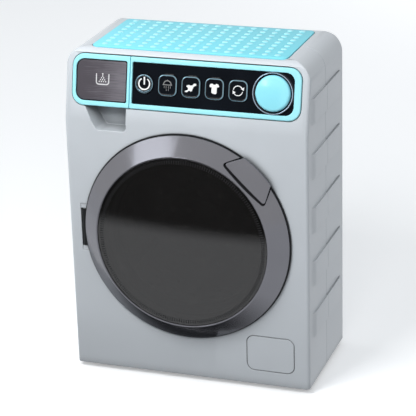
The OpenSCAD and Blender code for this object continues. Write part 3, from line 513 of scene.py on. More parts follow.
def opening_layer(x0, x1, left, right, inset, height):
    """The outline of a recess between the frame's borders, moved in."""
    return round_outline(x0 + inset, x1 - inset, FRAME_LOW + FRAME_BORDER + inset,
                         FRAME_HIGH - FRAME_BORDER - inset, max(left - inset, 0.2),
                         max(right - inset, 0.2)), height


def face_layer(inset, height):
    """The outline of the panel's opening, moved in."""
    return opening_layer(panel_x0 + FRAME_LIP, FRAME_RIGHT - FRAME_END, FACE_SEAM_R, FACE_R, inset, height)


def joined(*meshes):
    """Several meshes as one."""
    form = bmesh.new()
    for mesh in meshes:
        form.from_mesh(mesh)
        bpy.data.meshes.remove(mesh)
    return meshed(form, "joined")


turquoise_gloss = moulded("turquoise_plastic", TURQUOISE, 0.24, grain=0.6, depth=0.004, mottle=0.02)
frame_outside = [frame_layer(panel_x0, FRAME_RIGHT, SEAM_R, FRAME_R, 0, -POCKET)]
frame_outside += [frame_layer(panel_x0, FRAME_RIGHT, SEAM_R, FRAME_R, inset, FRAME_PROUD + drop, "left")
                  for inset, drop in ROLL_OVER]
frame_inside = [face_layer(inset, FRAME_PROUD + drop) for inset, drop in ROLL_IN]
frame_inside += [face_layer(0, FACE_OUT - FACE_T), face_layer(SKIRT_T, FACE_OUT - FACE_T),
                 face_layer(SKIRT_T, skirt_low)]
frame_skirt = [frame_layer(panel_x0, FRAME_RIGHT, SKIRT_R, FRAME_R, LEDGE, height)
               for height in (skirt_low, -POCKET)]
frame_form = stacked("frame", frame_outside + frame_inside + frame_skirt, panel_place, closed=False)
peg_profile = [(0, -PEG_DEEP), (PEG_R - 0.3, -PEG_DEEP), (PEG_R, -PEG_DEEP + 0.3), (PEG_R, -POCKET),
               (0, -POCKET)]
pegs = [turned("peg", peg_profile, panel_place @ Matrix.Translation((x * MM, y * MM, 0)), around=24)
        for x in PEG_XS for y in (FRAME_LOW + PEG_EDGE, FRAME_HIGH - PEG_EDGE)]
placed("panel_frame", eased(joined(frame_form, *pegs)), turquoise_gloss, "cabinet", "turquoise",
       "control_frame")
black_gloss = moulded("black_gloss", GLOSS_BLACK, 0.07, grain=1.4, depth=0.0015, mottle=0.2)
placed("panel_face", casting("control_fascia", PANEL_EDGE), black_gloss, "cabinet", "gloss_black",
       "control_fascia")

# ---------------------------------------------------------------- power button
# A round button moulded in glossy black and held in by its flange. Its raised rim carries a
# fine bright line, and its symbol is printed in white in the shallow dish inside.

PANEL_MID, POWER_X, POWER_R = 29.7, -30.8, 7.0
BUTTON_OUT, BUTTON_DEPTH, FLANGE_WIDE, FLANGE_T = 1.4, 2.55, 0.9, 1.0
CAP_SIDE = [(0.0, -0.55), (0.08, -0.2)]
RIM = [(0.25, 0.1), (0.45, 0.22), (0.7, 0.3), (1.05, 0.36), (1.35, 0.25)]
DISH_R, DISH_DEEP, LINE_T, PRINT_T = 5.4, 0.28, 0.06, 0.06
DISH_SIDE = [(0.2, 0.04), (0.35, 0.0)]
SYMBOL_R, SYMBOL_START, SYMBOL_END = 4.15, 122, 418
flange_top = -BUTTON_DEPTH + FLANGE_T
dish_floor = BUTTON_OUT - DISH_DEEP


def arc(cx, cy, r, start, end, steps=24):
    """Points along a part of a circle, between two angles in degrees."""
    return [(cx + r * math.cos(math.radians(start + (end - start) * k / steps)),
             cy + r * math.sin(math.radians(start + (end - start) * k / steps))) for k in range(steps + 1)]


def stroke(points, width):
    """The two sides of a line of even width, as one outline."""
    left, right = [], []
    for k, (x, y) in enumerate(points):
        ax, ay = points[max(k - 1, 0)]
        bx, by = points[min(k + 1, len(points) - 1)]
        length = math.hypot(bx - ax, by - ay)
        nx, ny = -(by - ay) / length * width / 2, (bx - ax) / length * width / 2
        left.append((x + nx, y + ny))
        right.append((x - nx, y - ny))
    return left + right[::-1]


def printed(name, shapes, place, height, material, body, slot):
    """A print: flat shapes with a trace of thickness, lying on a face."""
    form = bmesh.new()
    for points in shapes:
        low = [form.verts.new(place @ (Vector((x, y, height)) * MM)) for x, y in points]
        high = [form.verts.new(place @ (Vector((x, y, height + PRINT_T)) * MM)) for x, y in points]
        count = len(points)
        form.faces.new(low)
        form.faces.new(high)
        for k in range(count):
            form.faces.new((low[k], low[(k + 1) % count], high[(k + 1) % count], high[k]))
    bmesh.ops.recalc_face_normals(form, faces=form.faces)
    bmesh.ops.triangulate(form, faces=[f for f in form.faces if len(f.verts) > 4])
    placed(name, meshed(form, name), material, body, slot)


def at_panel(x, y=PANEL_MID):
    """A place on the leaning face."""
    return panel_place @ Matrix.Translation((x * MM, y * MM, 0))


power_foot = [(0, -BUTTON_DEPTH), (POWER_R + FLANGE_WIDE, -BUTTON_DEPTH), (POWER_R + FLANGE_WIDE, flange_top),
              (POWER_R, flange_top)]
power_rim = [(POWER_R - inset, BUTTON_OUT + rise) for inset, rise in CAP_SIDE + RIM]
power_dish = [(DISH_R, BUTTON_OUT)] + [(DISH_R - inset, dish_floor + rise) for inset, rise in DISH_SIDE]
power_form = turned("power", power_foot + power_rim + power_dish + [(0, dish_floor)], at_panel(POWER_X))
placed("power_cap", power_form, black_gloss, "power", "gloss_black", "power_button")
bright_line = moulded("bright_line", (0.21, 0.32, 0.38), 0.16, grain=0.6, depth=0.003, mottle=0.1,
                      metallic=1.0)
line_over = [(POWER_R - inset, BUTTON_OUT + rise + LINE_T / 2) for inset, rise in RIM]
line_under = [(POWER_R - inset, BUTTON_OUT + rise - LINE_T / 2) for inset, rise in RIM[::-1]]
power_line = turned("power_line", line_over + line_under, at_panel(POWER_X))
placed("power_line", power_line, bright_line, "power", "bright_trim")
white_ink = moulded("white_ink", (0.86, 0.87, 0.87), 0.35, grain=0.5, depth=0.003, mottle=0.04)
symbol = [stroke(arc(0, 0, SYMBOL_R, SYMBOL_START, SYMBOL_END, 40), 0.95), stroke([(0, -0.6), (0, 5.0)], 1.1)]
printed("power_symbol", symbol, at_panel(POWER_X), dish_floor, white_ink, "power", "inner_white")

# ---------------------------------------------------------------- program buttons
# Four square buttons moulded in glossy black and held in by their flanges, with a fine
# bright line on the rounded edge of each. The printed pictograms are a shower, a wrung
# shirt, a shirt laid flat, and two turning arrows.

BUTTON_W, BUTTON_H, BUTTON_R, BUTTON_PITCH = 14.6, 15.6, 4.4, 17.8
CAP_EDGE = [(0.0, -0.9), (0.07, -0.6), (0.27, -0.27), (0.6, -0.07), (0.95, 0.0)]
CAP_DISH = [(1.25, -0.06), (1.5, -0.2)]


def button_layer(inset, height):
    """The outline of a square button, moved in."""
    return round_outline(-BUTTON_W / 2 + inset, BUTTON_W / 2 - inset, -BUTTON_H / 2 + inset,
                         BUTTON_H / 2 - inset, BUTTON_R - inset, BUTTON_R - inset), height


def box(x0, x1, y0, y1):
    """The corners of a rectangle."""
    return [(x0, y0), (x1, y0), (x1, y1), (x0, y1)]


shower = [stroke(arc(0, 0.5, 2.95, 0, 180, 20), 0.7), box(-3.6, 3.6, 0.1, 0.75), box(-0.3, 0.3, 3.4, 4.2)]
shower += [box(x - 0.18, x + 0.18, -2.1, -0.5) for x in (-2.3, -0.9, 0.9, 2.3)]
shower += [box(x - 0.18, x + 0.18, -3.9, -2.4) for x in (-0.7, 0.9)]
wrung = [(-3.04, 0.98), (-1.4, 1.65), (0, 1.07), (1.17, 1.52), (2.58, 2.77), (3.98, 2.77), (4.3, 1.65),
         (3.28, 1.2), (2.1, 0.31), (1.5, -1.03), (0.94, -2.68), (-0.1, -2.95), (-1.4, -2.5), (-2.1, -3.26),
         (-3.2, -3.84), (-4.3, -3.48), (-3.98, -2.68), (-2.4, -2.2), (-1.87, -1.03), (-2.4, -0.13),
         (-3.2, 0.18)]
shirt = [(-3.75, 2.0), (-3.0, 3.4), (-1.4, 3.8), (-0.7, 3.1), (0.7, 3.1), (1.4, 3.8), (3.0, 3.4),
         (3.75, 2.0), (2.75, 1.2), (2.0, 1.5), (1.85, -3.0), (1.0, -3.7), (-1.1, -3.3), (-2.05, -2.5),
         (-1.95, 1.4), (-2.9, 1.1)]
arrows = [stroke(arc(0, 0, 3.5, 170, 35, 20), 0.6), stroke(arc(0, 0, 3.5, -10, -145, 20), 0.6),
          [(4.6, 2.8), (2.0, 1.6), (4.2, 0.2)], [(-4.06, 0.18), (-1.7, -1.2), (-3.7, -2.6)]]
grey_ink = moulded("grey_ink", (0.20, 0.20, 0.20), 0.4, grain=0.5, depth=0.003, mottle=0.04)
pictograms = [("shower", shower, grey_ink), ("wrung_shirt", [wrung], white_ink),
              ("shirt", [shirt], white_ink), ("arrows", arrows, white_ink)]
for number, (label, shapes, ink) in enumerate(pictograms, 1):
    place = at_panel(POWER_X + number * BUTTON_PITCH)
    body = f"program_{number}"
    cap_foot = [button_layer(-FLANGE_WIDE, -BUTTON_DEPTH), button_layer(-FLANGE_WIDE, flange_top),
                button_layer(0, flange_top)]
    cap_face = [button_layer(inset, BUTTON_OUT + drop) for inset, drop in CAP_EDGE + CAP_DISH]
    cap = stacked("cap", cap_foot + cap_face, place)
    placed(f"program_cap_{number}", eased(cap), black_gloss, body, "gloss_black", f"program_button_{number}")
    line_over = [button_layer(inset, BUTTON_OUT + drop + LINE_T / 2) for inset, drop in CAP_EDGE[1:]]
    line_under = [button_layer(inset, BUTTON_OUT + drop - LINE_T / 2) for inset, drop in CAP_EDGE[:0:-1]]
    line = stacked("line", line_over + line_under, place, closed=False)
    placed(f"button_line_{number}", smoothed(line, 50), bright_line, body, "bright_trim")
    printed(f"pictogram_{label}", shapes, place, BUTTON_OUT + CAP_DISH[-1][1], ink, body, "inner_white")

# ---------------------------------------------------------------- dial
# A domed turquoise knob pressed on a plastic shaft, with a thin bright ring round it that
# stands on the panel.

DIAL_X, DIAL_R, DIAL_OUT, DIAL_FOOT = 66.4, 13.1, 4.0, 0.55
DIAL_ROUND, DIAL_DOME = 2.4, 0.8
LIP_IN, LIP_OUT, LIP_TOP = 14.35, 14.95, 2.5
LIP_EASE = [(0.0, 0.2), (0.12, 0.06)]
crown_r = DIAL_R - DIAL_ROUND
crown_z = DIAL_OUT - DIAL_DOME
knob_foot = [(0, DIAL_FOOT), (DIAL_R - 0.2, DIAL_FOOT), (DIAL_R, DIAL_FOOT + 0.15)]
knob_round = [(crown_r + x, crown_z - DIAL_ROUND + y) for x, y in arc(0, 0, DIAL_ROUND, 0, 80, 8)]
knob_dome = [(crown_r * k / 6, DIAL_OUT - DIAL_DOME * (k / 6) ** 2) for k in range(6, -1, -1)]
knob = turned("knob", knob_foot + knob_round + knob_dome, at_panel(DIAL_X))
dial_gloss = moulded("dial_plastic", (0.30, 0.78, 0.90), 0.13, grain=0.8, depth=0.003)
placed("dial_cap", knob, dial_gloss, "dial", "turquoise", "dial_knob")
lip_inside = [(LIP_IN, FACE_OUT)] + [(LIP_IN + inset, LIP_TOP - drop) for inset, drop in LIP_EASE]
lip_outside = [(LIP_OUT - inset, LIP_TOP - drop) for inset, drop in LIP_EASE[::-1]] + [(LIP_OUT, FACE_OUT)]
lip = turned("lip", lip_inside + [((LIP_IN + LIP_OUT) / 2, LIP_TOP)] + lip_outside, at_panel(DIAL_X))
bright_ring = moulded("bright_ring", (0.50, 0.60, 0.72), 0.12, grain=0.6, depth=0.002, mottle=0.05,
                      metallic=1.0)
placed("dial_lip", lip, bright_ring, "cabinet", "bright_trim", "dial_ring")

# ---------------------------------------------------------------- drawer
# A turquoise front and tray in one colour, and a dark plate with a brushed print set in
# the front. A black strip fills the gap round the plate's edge as painted shade. The powder
# cup is printed on the plate.

DRAWER_LEFT, DRAWER_BACK, BORDER_LEFT, BORDER_RIGHT, TRAY_EDGE = -87.0, -1.05, 2.9, 2.2, 0.35
PLATE_R, PLATE_SUNK, PLATE_FACE, PLATE_EDGE, GAP_SHADE_TOP = 1.4, 1.4, 0.7, 0.3, 0.5
PALE_FROM, PALE_TO = -84.0, -44.0
CUP_X, CUP_Y, CUP_LINE, CUP_SUNK = -63.4, 30.6, 0.85, 0.01
CUP_W, CUP_TOP, CUP_LOW, CUP_R = 4.85, 4.0, -3.7, 1.9
GRAIN_ROWS, GRAIN_PITCH, GRAIN_ROW, GRAIN_TOP, GRAIN_R = 4, 1.65, 1.35, 2.4, 0.5
TOP_GRAIN_Y, TOP_GRAIN_R = 3.9, 0.6
plate_seat = FRAME_PROUD - PLATE_SUNK


def plate_layer(inset, height):
    """The outline of the recess for the plate, moved in."""
    return opening_layer(DRAWER_LEFT + BORDER_LEFT, SEAM_X - BORDER_RIGHT, FACE_R, PLATE_R, inset, height)


def brushed(name, dark, light, roughness):
    """A printed film with fine streaks across it and a slow patchy tone, paler to the right."""
    material = moulded(name, dark, roughness, grain=0.5, depth=0.003)
    tree = material.node_tree
    where = tree.nodes["Texture Coordinate"].outputs["Object"]
    stretch = tree.nodes.new("ShaderNodeMapping")
    stretch.inputs["Scale"].default_value = (60, 60, 2600)
    stretch.inputs["Rotation"].default_value = (math.radians(LEAN), 0, 0)
    tree.links.new(where, stretch.inputs["Vector"])
    blended = tree.nodes.new("ShaderNodeMix")
    blended.data_type = "FLOAT"
    blended.inputs[0].default_value = 0.45
    tree.links.new(noise(tree, stretch.outputs["Vector"], 1.0, 4.0), blended.inputs[2])
    tree.links.new(tree.nodes["Noise Texture"].outputs["Fac"], blended.inputs[3])
    split = tree.nodes.new("ShaderNodeSeparateXYZ")
    tree.links.new(where, split.inputs["Vector"])
    slant = ranged(tree, split.outputs["X"], -0.25, 0.10, PALE_FROM * MM, PALE_TO * MM)
    film = toned(tree, reckoned(tree, "ADD", blended.outputs[0], slant), dark, light, 0.36, 0.64)
    tree.links.new(film, tree.nodes["Principled BSDF"].inputs["Base Color"])
    tree.nodes.remove(tree.nodes["Color Ramp"])
    return material


drawer_outside = [frame_layer(DRAWER_LEFT, SEAM_X, FRAME_R, SEAM_R, 0, DRAWER_BACK)]
drawer_outside += [frame_layer(DRAWER_LEFT, SEAM_X, FRAME_R, SEAM_R, inset, FRAME_PROUD + drop, "right")
                   for inset, drop in ROLL_OVER]
drawer_inside = [plate_layer(inset, FRAME_PROUD + drop) for inset, drop in ROLL_IN]
drawer_inside += [plate_layer(0, plate_seat)]
drawer_form = stacked("drawer", drawer_outside + drawer_inside, panel_place)
placed("drawer_face", eased(drawer_form), turquoise_gloss, "drawer", "turquoise", "drawer_front")
placed("drawer_box", casting("drawer_tray", TRAY_EDGE), turquoise_gloss, "drawer", "turquoise", "drawer_tray")
plate_film = brushed("plate_film", (0.062, 0.055, 0.066), (0.165, 0.155, 0.175), 0.4)
# Painted shade: a black strip fills the gap round the plate's edge and stands for the shade in it.
gap_shade_black = dulled(moulded("gap_shade_black", (0.010, 0.010, 0.012), 0.85, grain=0.8, depth=0.02, mottle=0.1),
                    0.1)
gap_shade_strip = stacked("gap_shade_strip", [plate_layer(0.1, plate_seat - 0.02), plate_layer(0.04, plate_seat + 0.1),
                        plate_layer(0.04, GAP_SHADE_TOP - 0.1), plate_layer(0.1, GAP_SHADE_TOP)], panel_place)
placed("plate_tape", eased(gap_shade_strip), gap_shade_black, "drawer", "satin_black")
placed("drawer_badge", casting("drawer_plate", PLATE_EDGE), plate_film, "drawer", "brushed_plate",
       "drawer_plate")
pale_ink = moulded("pale_ink", (0.62, 0.62, 0.63), 0.4, grain=0.5, depth=0.003, mottle=0.04)
cup = [stroke([(-CUP_W, CUP_TOP)] + arc(-CUP_W + CUP_R, CUP_LOW + CUP_R, CUP_R, 180, 270, 8) +
              arc(CUP_W - CUP_R, CUP_LOW + CUP_R, CUP_R, 270, 360, 8) + [(CUP_W, CUP_TOP)], CUP_LINE)]
cup += [arc(GRAIN_PITCH * (k - row / 2), GRAIN_TOP - GRAIN_ROW * row, GRAIN_R, 0, 330, 11)
        for row in range(GRAIN_ROWS) for k in range(row + 1)]
cup += [arc(0, TOP_GRAIN_Y, TOP_GRAIN_R, 0, 330, 11)]
printed("powder_cup", cup, at_panel(CUP_X, CUP_Y), PLATE_FACE - CUP_SUNK, pale_ink, "drawer", "inner_white")

# ---------------------------------------------------------------- door
# A conical ring moulded in dark metallic grey, with a smoked window seated in it, a black
# liner screwed on from behind, and a handle plate let into its upper right. Fine ticks
# stand round the window's edge.

DOOR_Z, DOOR_R, RING_W, RING_OUT = 117.0, 79.6, 13.9, 13.3
RING_EDGE, HANDLE_EDGE, LINER_EDGE = 0.35, 0.45, 0.25
WINDOW_T, WINDOW_SUNK, WINDOW_CROWN, WINDOW_GAP = 1.9, 1.1, 1.5, 0.3
TICK_IN, TICK_OUT, TICK_UP, TICK_T, TICK_W, TICK_COUNT = 61.2, 63.9, 0.15, 0.24, 0.6, 216
door_place = Matrix.Translation((0, FRONT_Y * MM, DOOR_Z * MM)) @ Matrix.Rotation(math.radians(90), 4, "X")
window_r = DOOR_R - RING_W
window_face = RING_OUT - WINDOW_SUNK
window_seat = window_face - WINDOW_T


def finish(material, *nodes):
    """Gives a carried-over CAD node its material."""
    for node in nodes:
        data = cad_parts[node].data
        data.materials.clear()
        data.materials.append(material)


def smoked(name, dark, light):
    """Smoked clear plastic: a polished face, with a slow drift in its tint and sheen."""
    material = bpy.data.materials.new(name)
    material.use_nodes = True
    tree = material.node_tree
    shader = tree.nodes["Principled BSDF"]
    shader.inputs["Transmission Weight"].default_value = 0.9
    shader.inputs["IOR"].default_value = 1.6
    haze = noise(tree, tree.nodes.new("ShaderNodeTexCoord").outputs["Object"], 40.0)
    tree.links.new(toned(tree, haze, dark, light), shader.inputs["Base Color"])
    tree.links.new(ranged(tree, haze, 0.02, 0.06), shader.inputs["Roughness"])
    return material


def tick_ring(inner, outer, thick, wide, count, material):
    """Geometry nodes: short bars standing round a circle like the hours of a clock."""
    tree, keys, given, out = node_tree("tick_ring", ("Inner", "Float"), ("Outer", "Float"), ("Wide", "Float"),
                                       ("Thick", "Float"), ("Count", "Int"))
    nodes, links = tree.nodes, tree.links
    ring = nodes.new("GeometryNodeMeshCircle")
    both = reckoned(tree, "ADD", given.outputs["Inner"], given.outputs["Outer"])
    links.new(given.outputs["Count"], ring.inputs["Vertices"])
    links.new(reckoned(tree, "MULTIPLY", both, 0.5), ring.inputs["Radius"])
    size = nodes.new("ShaderNodeCombineXYZ")
    links.new(reckoned(tree, "SUBTRACT", given.outputs["Outer"], given.outputs["Inner"]), size.inputs["X"])
    links.new(given.outputs["Wide"], size.inputs["Y"])
    links.new(given.outputs["Thick"], size.inputs["Z"])
    bar = nodes.new("GeometryNodeMeshCube")
    links.new(size.outputs["Vector"], bar.inputs["Size"])
    step = reckoned(tree, "DIVIDE", 2 * math.pi, given.outputs["Count"])
    index = nodes.new("GeometryNodeInputIndex")
    angle = nodes.new("ShaderNodeCombineXYZ")
    links.new(reckoned(tree, "MULTIPLY", step, index.outputs["Index"]), angle.inputs["Z"])
    place = nodes.new("GeometryNodeInstanceOnPoints")
    links.new(ring.outputs["Mesh"], place.inputs["Points"])
    links.new(bar.outputs["Mesh"], place.inputs["Instance"])
    links.new(angle.outputs["Vector"], place.inputs["Rotation"])
    realised(tree, place.outputs["Instances"], out, material)
    return grown("tick_ring", bpy.data.meshes.new("tick_ring"), tree, keys,
                 {"Inner": inner, "Outer": outer, "Wide": wide, "Thick": thick, "Count": count})


door_grey = moulded("door_plastic", (0.178, 0.178, 0.196), 0.16, grain=0.9, depth=0.003, mottle=0.03,
                    metallic=0.8)
placed("door_rim", casting("door_ring", RING_EDGE, angle=28), door_grey, "door", "door_grey", "door_ring")
placed("handle_plate", casting("door_handle", HANDLE_EDGE, steps=3), door_grey, "door", "door_grey",
       "door_handle")
satin_black = dulled(moulded("satin_black", (0.008, 0.009, 0.010), 0.45, grain=0.5, depth=0.006, mottle=0.1),
                     0.25)
placed("door_liner", casting("door_back", LINER_EDGE), satin_black, "door", "satin_black", "door_back")
finish(satin_black, "door_hinge_arm")
finish(door_grey, "door_tongue")
smoke = smoked("smoked_window", (0.055, 0.052, 0.05), (0.075, 0.071, 0.068))
pane_back = [((window_r - WINDOW_GAP - 0.05) * k / 10, window_seat) for k in range(11)]
pane_face = [((window_r - WINDOW_GAP) * k / 12, window_face + WINDOW_CROWN * (1 - (k / 12) ** 2))
             for k in range(12, -1, -1)]
pane = turned("pane", pane_back + pane_face, door_place, around=128)
placed("window_pane", pane, smoke, "door", "smoked_window", "door_window")
tick_smoke = dulled(moulded("tick_smoke", (0.014, 0.014, 0.015), 0.45, grain=0.5, depth=0.003, mottle=0.05),
                    0.25)
ticks = tick_ring(TICK_IN * MM, TICK_OUT * MM, TICK_T * MM, TICK_W * MM, TICK_COUNT, tick_smoke)
ticks.transform(door_place @ Matrix.Translation((0, 0, (window_face + TICK_UP) * MM)))
placed("window_knurl", ticks, tick_smoke, "door", "smoked_window")

# ---------------------------------------------------------------- hinge and catch
# Grey bracket behind the slot with a steel pin, and a white spring catch for the tongue.
# The drawer's bay and the battery door are moulded in the shells' grey, and the tub, the
# dial's shaft and the gearbox plate in the catch's white.

white_plastic = moulded("white_plastic", (0.68, 0.68, 0.66), 0.42)
# These take the shells' grey with its painted shade in deep corners.
finish(shell_plastic, "hinge_bracket", "drawer_bay", "battery_door")
finish(zinc, "hinge_pin")
finish(white_plastic, "latch_catch", "tub", "dial_shaft", "gearbox_plate")

# ---------------------------------------------------------------- seal and drum
# A soft grey rubber lip at the tub's opening, and a silver-grey plastic drum with three
# lifters, which turns in the tub on a steel shaft.

seal_rubber = moulded("seal_rubber", (0.16, 0.165, 0.175), 0.6, grain=0.8, depth=0.02)
finish(seal_rubber, "door_seal")
drum_plastic = moulded("drum_plastic", (0.40, 0.41, 0.43), 0.28, grain=0.5, depth=0.006)
finish(drum_plastic, "drum")
finish(zinc, "drum_shaft", "idler_axle")

# ---------------------------------------------------------------- gears and motor
# White nylon gears on their shafts, and behind the gearbox plate a small motor in a can
# drawn from bright steel.

nylon = moulded("gear_nylon", (0.74, 0.74, 0.70), 0.36, grain=0.4, depth=0.008)
finish(nylon, "drum_gear", "idler_gear", "motor_pinion")
motor_steel = metal("motor_steel", (0.55, 0.56, 0.58), 0.3, 0.4, stretch=(1, 0.05, 1))
finish(motor_steel, "motor_can")

# ---------------------------------------------------------------- electrics
# A green lacquered board behind the buttons, plated contacts in the battery bay, and a
# small speaker with a black paper cone behind its grille.

board_lacquer = moulded("board_lacquer", (0.012, 0.10, 0.045), 0.3, grain=1.0, depth=0.01, mottle=0.12)
finish(board_lacquer, "circuit_board")
plated_spring = metal("plated_spring", (0.75, 0.70, 0.55), 0.28, 0.3)
finish(plated_spring, "battery_contacts")
cone_paper = moulded("cone_paper", (0.018, 0.018, 0.018), 0.8, grain=0.6, depth=0.05)
finish(cone_paper, "speaker")

# ---------------------------------------------------------------- room
# A plain pale floor, a pale sky and five soft lamps. Gloss sees pale cards under, beside and
# above the machine, and dark ones in front and at its foot. Soft light sees two cards of its
# own. Places here are in metres.

FLOOR_HALF, CARD_Z, UNDER_Z = 3, -0.002, -0.003
FLOOR, GLOSS, SOFT = "floor", "gloss", "soft"
FLOOR_PAINT, FLOOR_GLOW = (0.88, 0.89, 0.90), 0.35
DARK, PALE = (0.012, 0.013, 0.015), (0.95, 0.97, 1.0)
SKY_TINT, SKY_STRENGTH = (0.90, 0.95, 1.0), 0.36


def sheet(name, corners, shown):
    """A four-cornered sheet with a plain material, shown as floor, to gloss or to soft light."""
    mesh = bpy.data.meshes.new(name)
    mesh.from_pydata(corners, [], [(0, 1, 2, 3)])
    board = bpy.data.objects.new(name, mesh)
    bpy.context.scene.collection.objects.link(board)
    board.visible_camera = board.visible_transmission = board.visible_shadow = shown == FLOOR
    board.visible_diffuse = shown == SOFT
    board.visible_glossy = shown == GLOSS
    paint = bpy.data.materials.new(name)
    paint.use_nodes = True
    mesh.materials.append(paint)
    return paint.node_tree


def floor_sheet(corners, colour, strength):
    """The floor: matt paint, paler still to the camera."""
    tree = sheet("floor", corners, FLOOR)
    paint = tree.nodes["Principled BSDF"]
    paint.inputs["Base Color"].default_value = (*colour, 1)
    paint.inputs["Roughness"].default_value = 0.9
    paint.inputs["Emission Color"].default_value = (*colour, 1)
    seen = tree.nodes.new("ShaderNodeLightPath").outputs["Is Camera Ray"]
    tree.links.new(reckoned(tree, "MULTIPLY", seen, strength), paint.inputs["Emission Strength"])


def card(name, corners, shown, colour, strength=1.0, fade=None):
    """A glowing or dark card. It may fade out along an axis, given with the places where it
    is gone and where it is full."""
    tree = sheet(name, corners, shown)
    glow = tree.nodes.new("ShaderNodeEmission")
    glow.inputs["Color"].default_value = (*colour, 1)
    glow.inputs["Strength"].default_value = strength
    clear = tree.nodes.new("ShaderNodeBsdfTransparent")
    mix = tree.nodes.new("ShaderNodeMixShader")
    mix.inputs["Fac"].default_value = 1.0
    tree.links.new(clear.outputs["BSDF"], mix.inputs[1])
    tree.links.new(glow.outputs["Emission"], mix.inputs[2])
    tree.links.new(mix.outputs["Shader"], tree.nodes["Material Output"].inputs["Surface"])
    if fade:
        axis, gone, full = fade
        split = tree.nodes.new("ShaderNodeSeparateXYZ")
        tree.links.new(tree.nodes.new("ShaderNodeTexCoord").outputs["Object"], split.inputs["Vector"])
        share = ranged(tree, split.outputs[axis], 0.0, 1.0, gone, full, "SMOOTHSTEP")
        tree.links.new(share, mix.inputs["Fac"])


def level_card(x0, x1, y0, y1, z=CARD_Z):
    """The corners of a level sheet, just under the floor unless its height is given."""
    return [(x0, y0, z), (x1, y0, z), (x1, y1, z), (x0, y1, z)]


def whole_floor(z):
    """The corners of a sheet as wide as the floor."""
    return level_card(-FLOOR_HALF, FLOOR_HALF, -FLOOR_HALF, FLOOR_HALF, z)


def standing(x0, x1, y, z0, z1):
    """The corners of an upright sheet that faces the front."""
    return [(x0, y, z0), (x1, y, z0), (x1, y, z1), (x0, y, z1)]


def studio_sky():
    """The world: soft light on the object, and plain white wherever it is seen, in a mirror
    or through glass as well."""
    world = bpy.data.worlds.new("studio")
    bpy.context.scene.world = world
    world.use_nodes = True
    tree = world.node_tree
    tree.nodes.clear()
    light = tree.nodes.new("ShaderNodeBackground")
    light.inputs["Color"].default_value = (*SKY_TINT, 1)
    light.inputs["Strength"].default_value = SKY_STRENGTH
    white = tree.nodes.new("ShaderNodeBackground")
    white.inputs["Color"].default_value = (1, 1, 1, 1)
    path = tree.nodes.new("ShaderNodeLightPath")
    seen = reckoned(tree, "MAXIMUM", path.outputs["Is Camera Ray"], path.outputs["Is Glossy Ray"])
    mix = tree.nodes.new("ShaderNodeMixShader")
    tree.links.new(reckoned(tree, "MAXIMUM", seen, path.outputs["Is Transmission Ray"]), mix.inputs["Fac"])
    tree.links.new(light.outputs["Background"], mix.inputs[1])
    tree.links.new(white.outputs["Background"], mix.inputs[2])
    out = tree.nodes.new("ShaderNodeOutputWorld")
    tree.links.new(mix.outputs["Shader"], out.inputs["Surface"])


def softbox(name, place, target, size, power):
    """A square lamp aimed at a place, which gloss doesn't mirror."""
    lamp = bpy.data.lights.new(name, "AREA")
    lamp.size = size
    lamp.energy = power
    holder = bpy.data.objects.new(name, lamp)
    holder.location = place
    holder.rotation_euler = (Vector(target) - Vector(place)).to_track_quat("-Z", "Y").to_euler()
    holder.visible_glossy = False
    bpy.context.scene.collection.objects.link(holder)


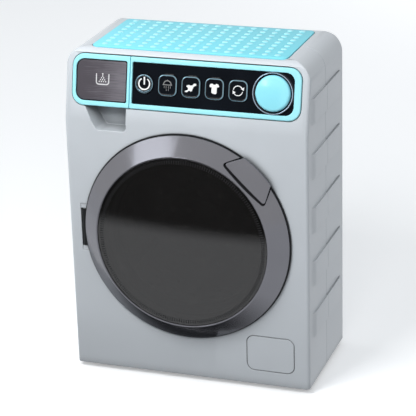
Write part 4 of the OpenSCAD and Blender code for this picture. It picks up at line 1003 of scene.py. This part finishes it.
floor_sheet(whole_floor(0), FLOOR_PAINT, FLOOR_GLOW)
studio_sky()
softbox("key_lamp", (-0.18, -0.48, 0.66), (0, 0, 0.17), 0.28, 3.6)
softbox("fill_lamp", (0.35, -1.4, 1.0), (0, 0, 0.14), 0.6, 5.8)
softbox("back_lamp", (0.4, 1.8, 0.42), (0, 0, 0.12), 0.6, 9.0)
softbox("left_lamp", (-1.6, 0.2, 0.38), (0, 0, 0.12), 0.6, 6.0)
softbox("side_lamp", (1.3, -0.60, 0.42), (0, 0, 0.14), 0.6, 2.2)
card("floor_gloss", whole_floor(UNDER_Z), GLOSS, PALE, 1.05)
card("left_gloss", level_card(-0.62, -0.24, -0.2, 0.2), GLOSS, PALE, 1.1, ("X", -0.24, -0.32))
card("front_gloss", level_card(-0.34, 0.03, -0.40, -0.33), GLOSS, DARK, 1.0, ("Y", -0.34, -0.40))
card("front_screen", standing(-0.34, 0.03, -0.40, CARD_Z, 0.33), GLOSS, DARK)
card("base_gloss", level_card(-0.14, 0.11, -0.075, -0.041), GLOSS, DARK, 2.2, ("X", 0.12, 0.02))
card("base_screen", standing(-0.11, 0.02, -0.0411, 0.001, 0.058), GLOSS, DARK, 2.2, ("Z", 0.06, 0.02))
card("floor_soft", whole_floor(UNDER_Z), SOFT, PALE, 0.25)
card("base_shade", level_card(-0.38, 0.18, -0.34, -0.043), SOFT, DARK)
card("dial_card", standing(-0.155, -0.085, -0.375, 0.335, 0.385), GLOSS, PALE, 9.0)
card("glow_card", [(-1.35, -0.55, 0.75), (-0.75, -1.05, 0.75), (-0.55, -0.75, 1.35), (-1.15, -0.25, 1.35)],
     GLOSS, PALE, 3.3)

# ---------------------------------------------------------------- camera
# A long lens, a little to the right of the machine and above it, tipped by a degree or two.
# RANGE, SIDE and RISE are metres from the middle of the door, along and across the view.

AZIMUTH, ELEVATION, ROLL = math.radians(19.464), math.radians(21.064), math.radians(-1.669)
RANGE, SIDE, RISE = 1.364822, 0.015552, 0.021511
FOCAL_PIXELS, FRAME_PIXELS, SENSOR_MM = 1852.5, 416, 36.0
back = Vector((math.sin(AZIMUTH) * math.cos(ELEVATION), -math.cos(AZIMUTH) * math.cos(ELEVATION),
               math.sin(ELEVATION)))
level = Vector((math.cos(AZIMUTH), math.sin(AZIMUTH), 0))
upright = back.cross(level)
right = level * math.cos(ROLL) + upright * math.sin(ROLL)
up = upright * math.cos(ROLL) - level * math.sin(ROLL)
lens = bpy.data.cameras.new("camera")
lens.sensor_width = SENSOR_MM
lens.lens = FOCAL_PIXELS / FRAME_PIXELS * SENSOR_MM
lens.clip_end = 20
camera = bpy.data.objects.new("camera", lens)
camera.matrix_world = Matrix((right, up, back)).transposed().to_4x4()
camera.location = Vector((0, FRONT_Y * MM, DOOR_Z * MM)) + back * RANGE + right * SIDE + up * RISE
bpy.context.scene.collection.objects.link(camera)
bpy.context.scene.camera = camera
bpy.context.scene.view_settings.view_transform = "Standard"
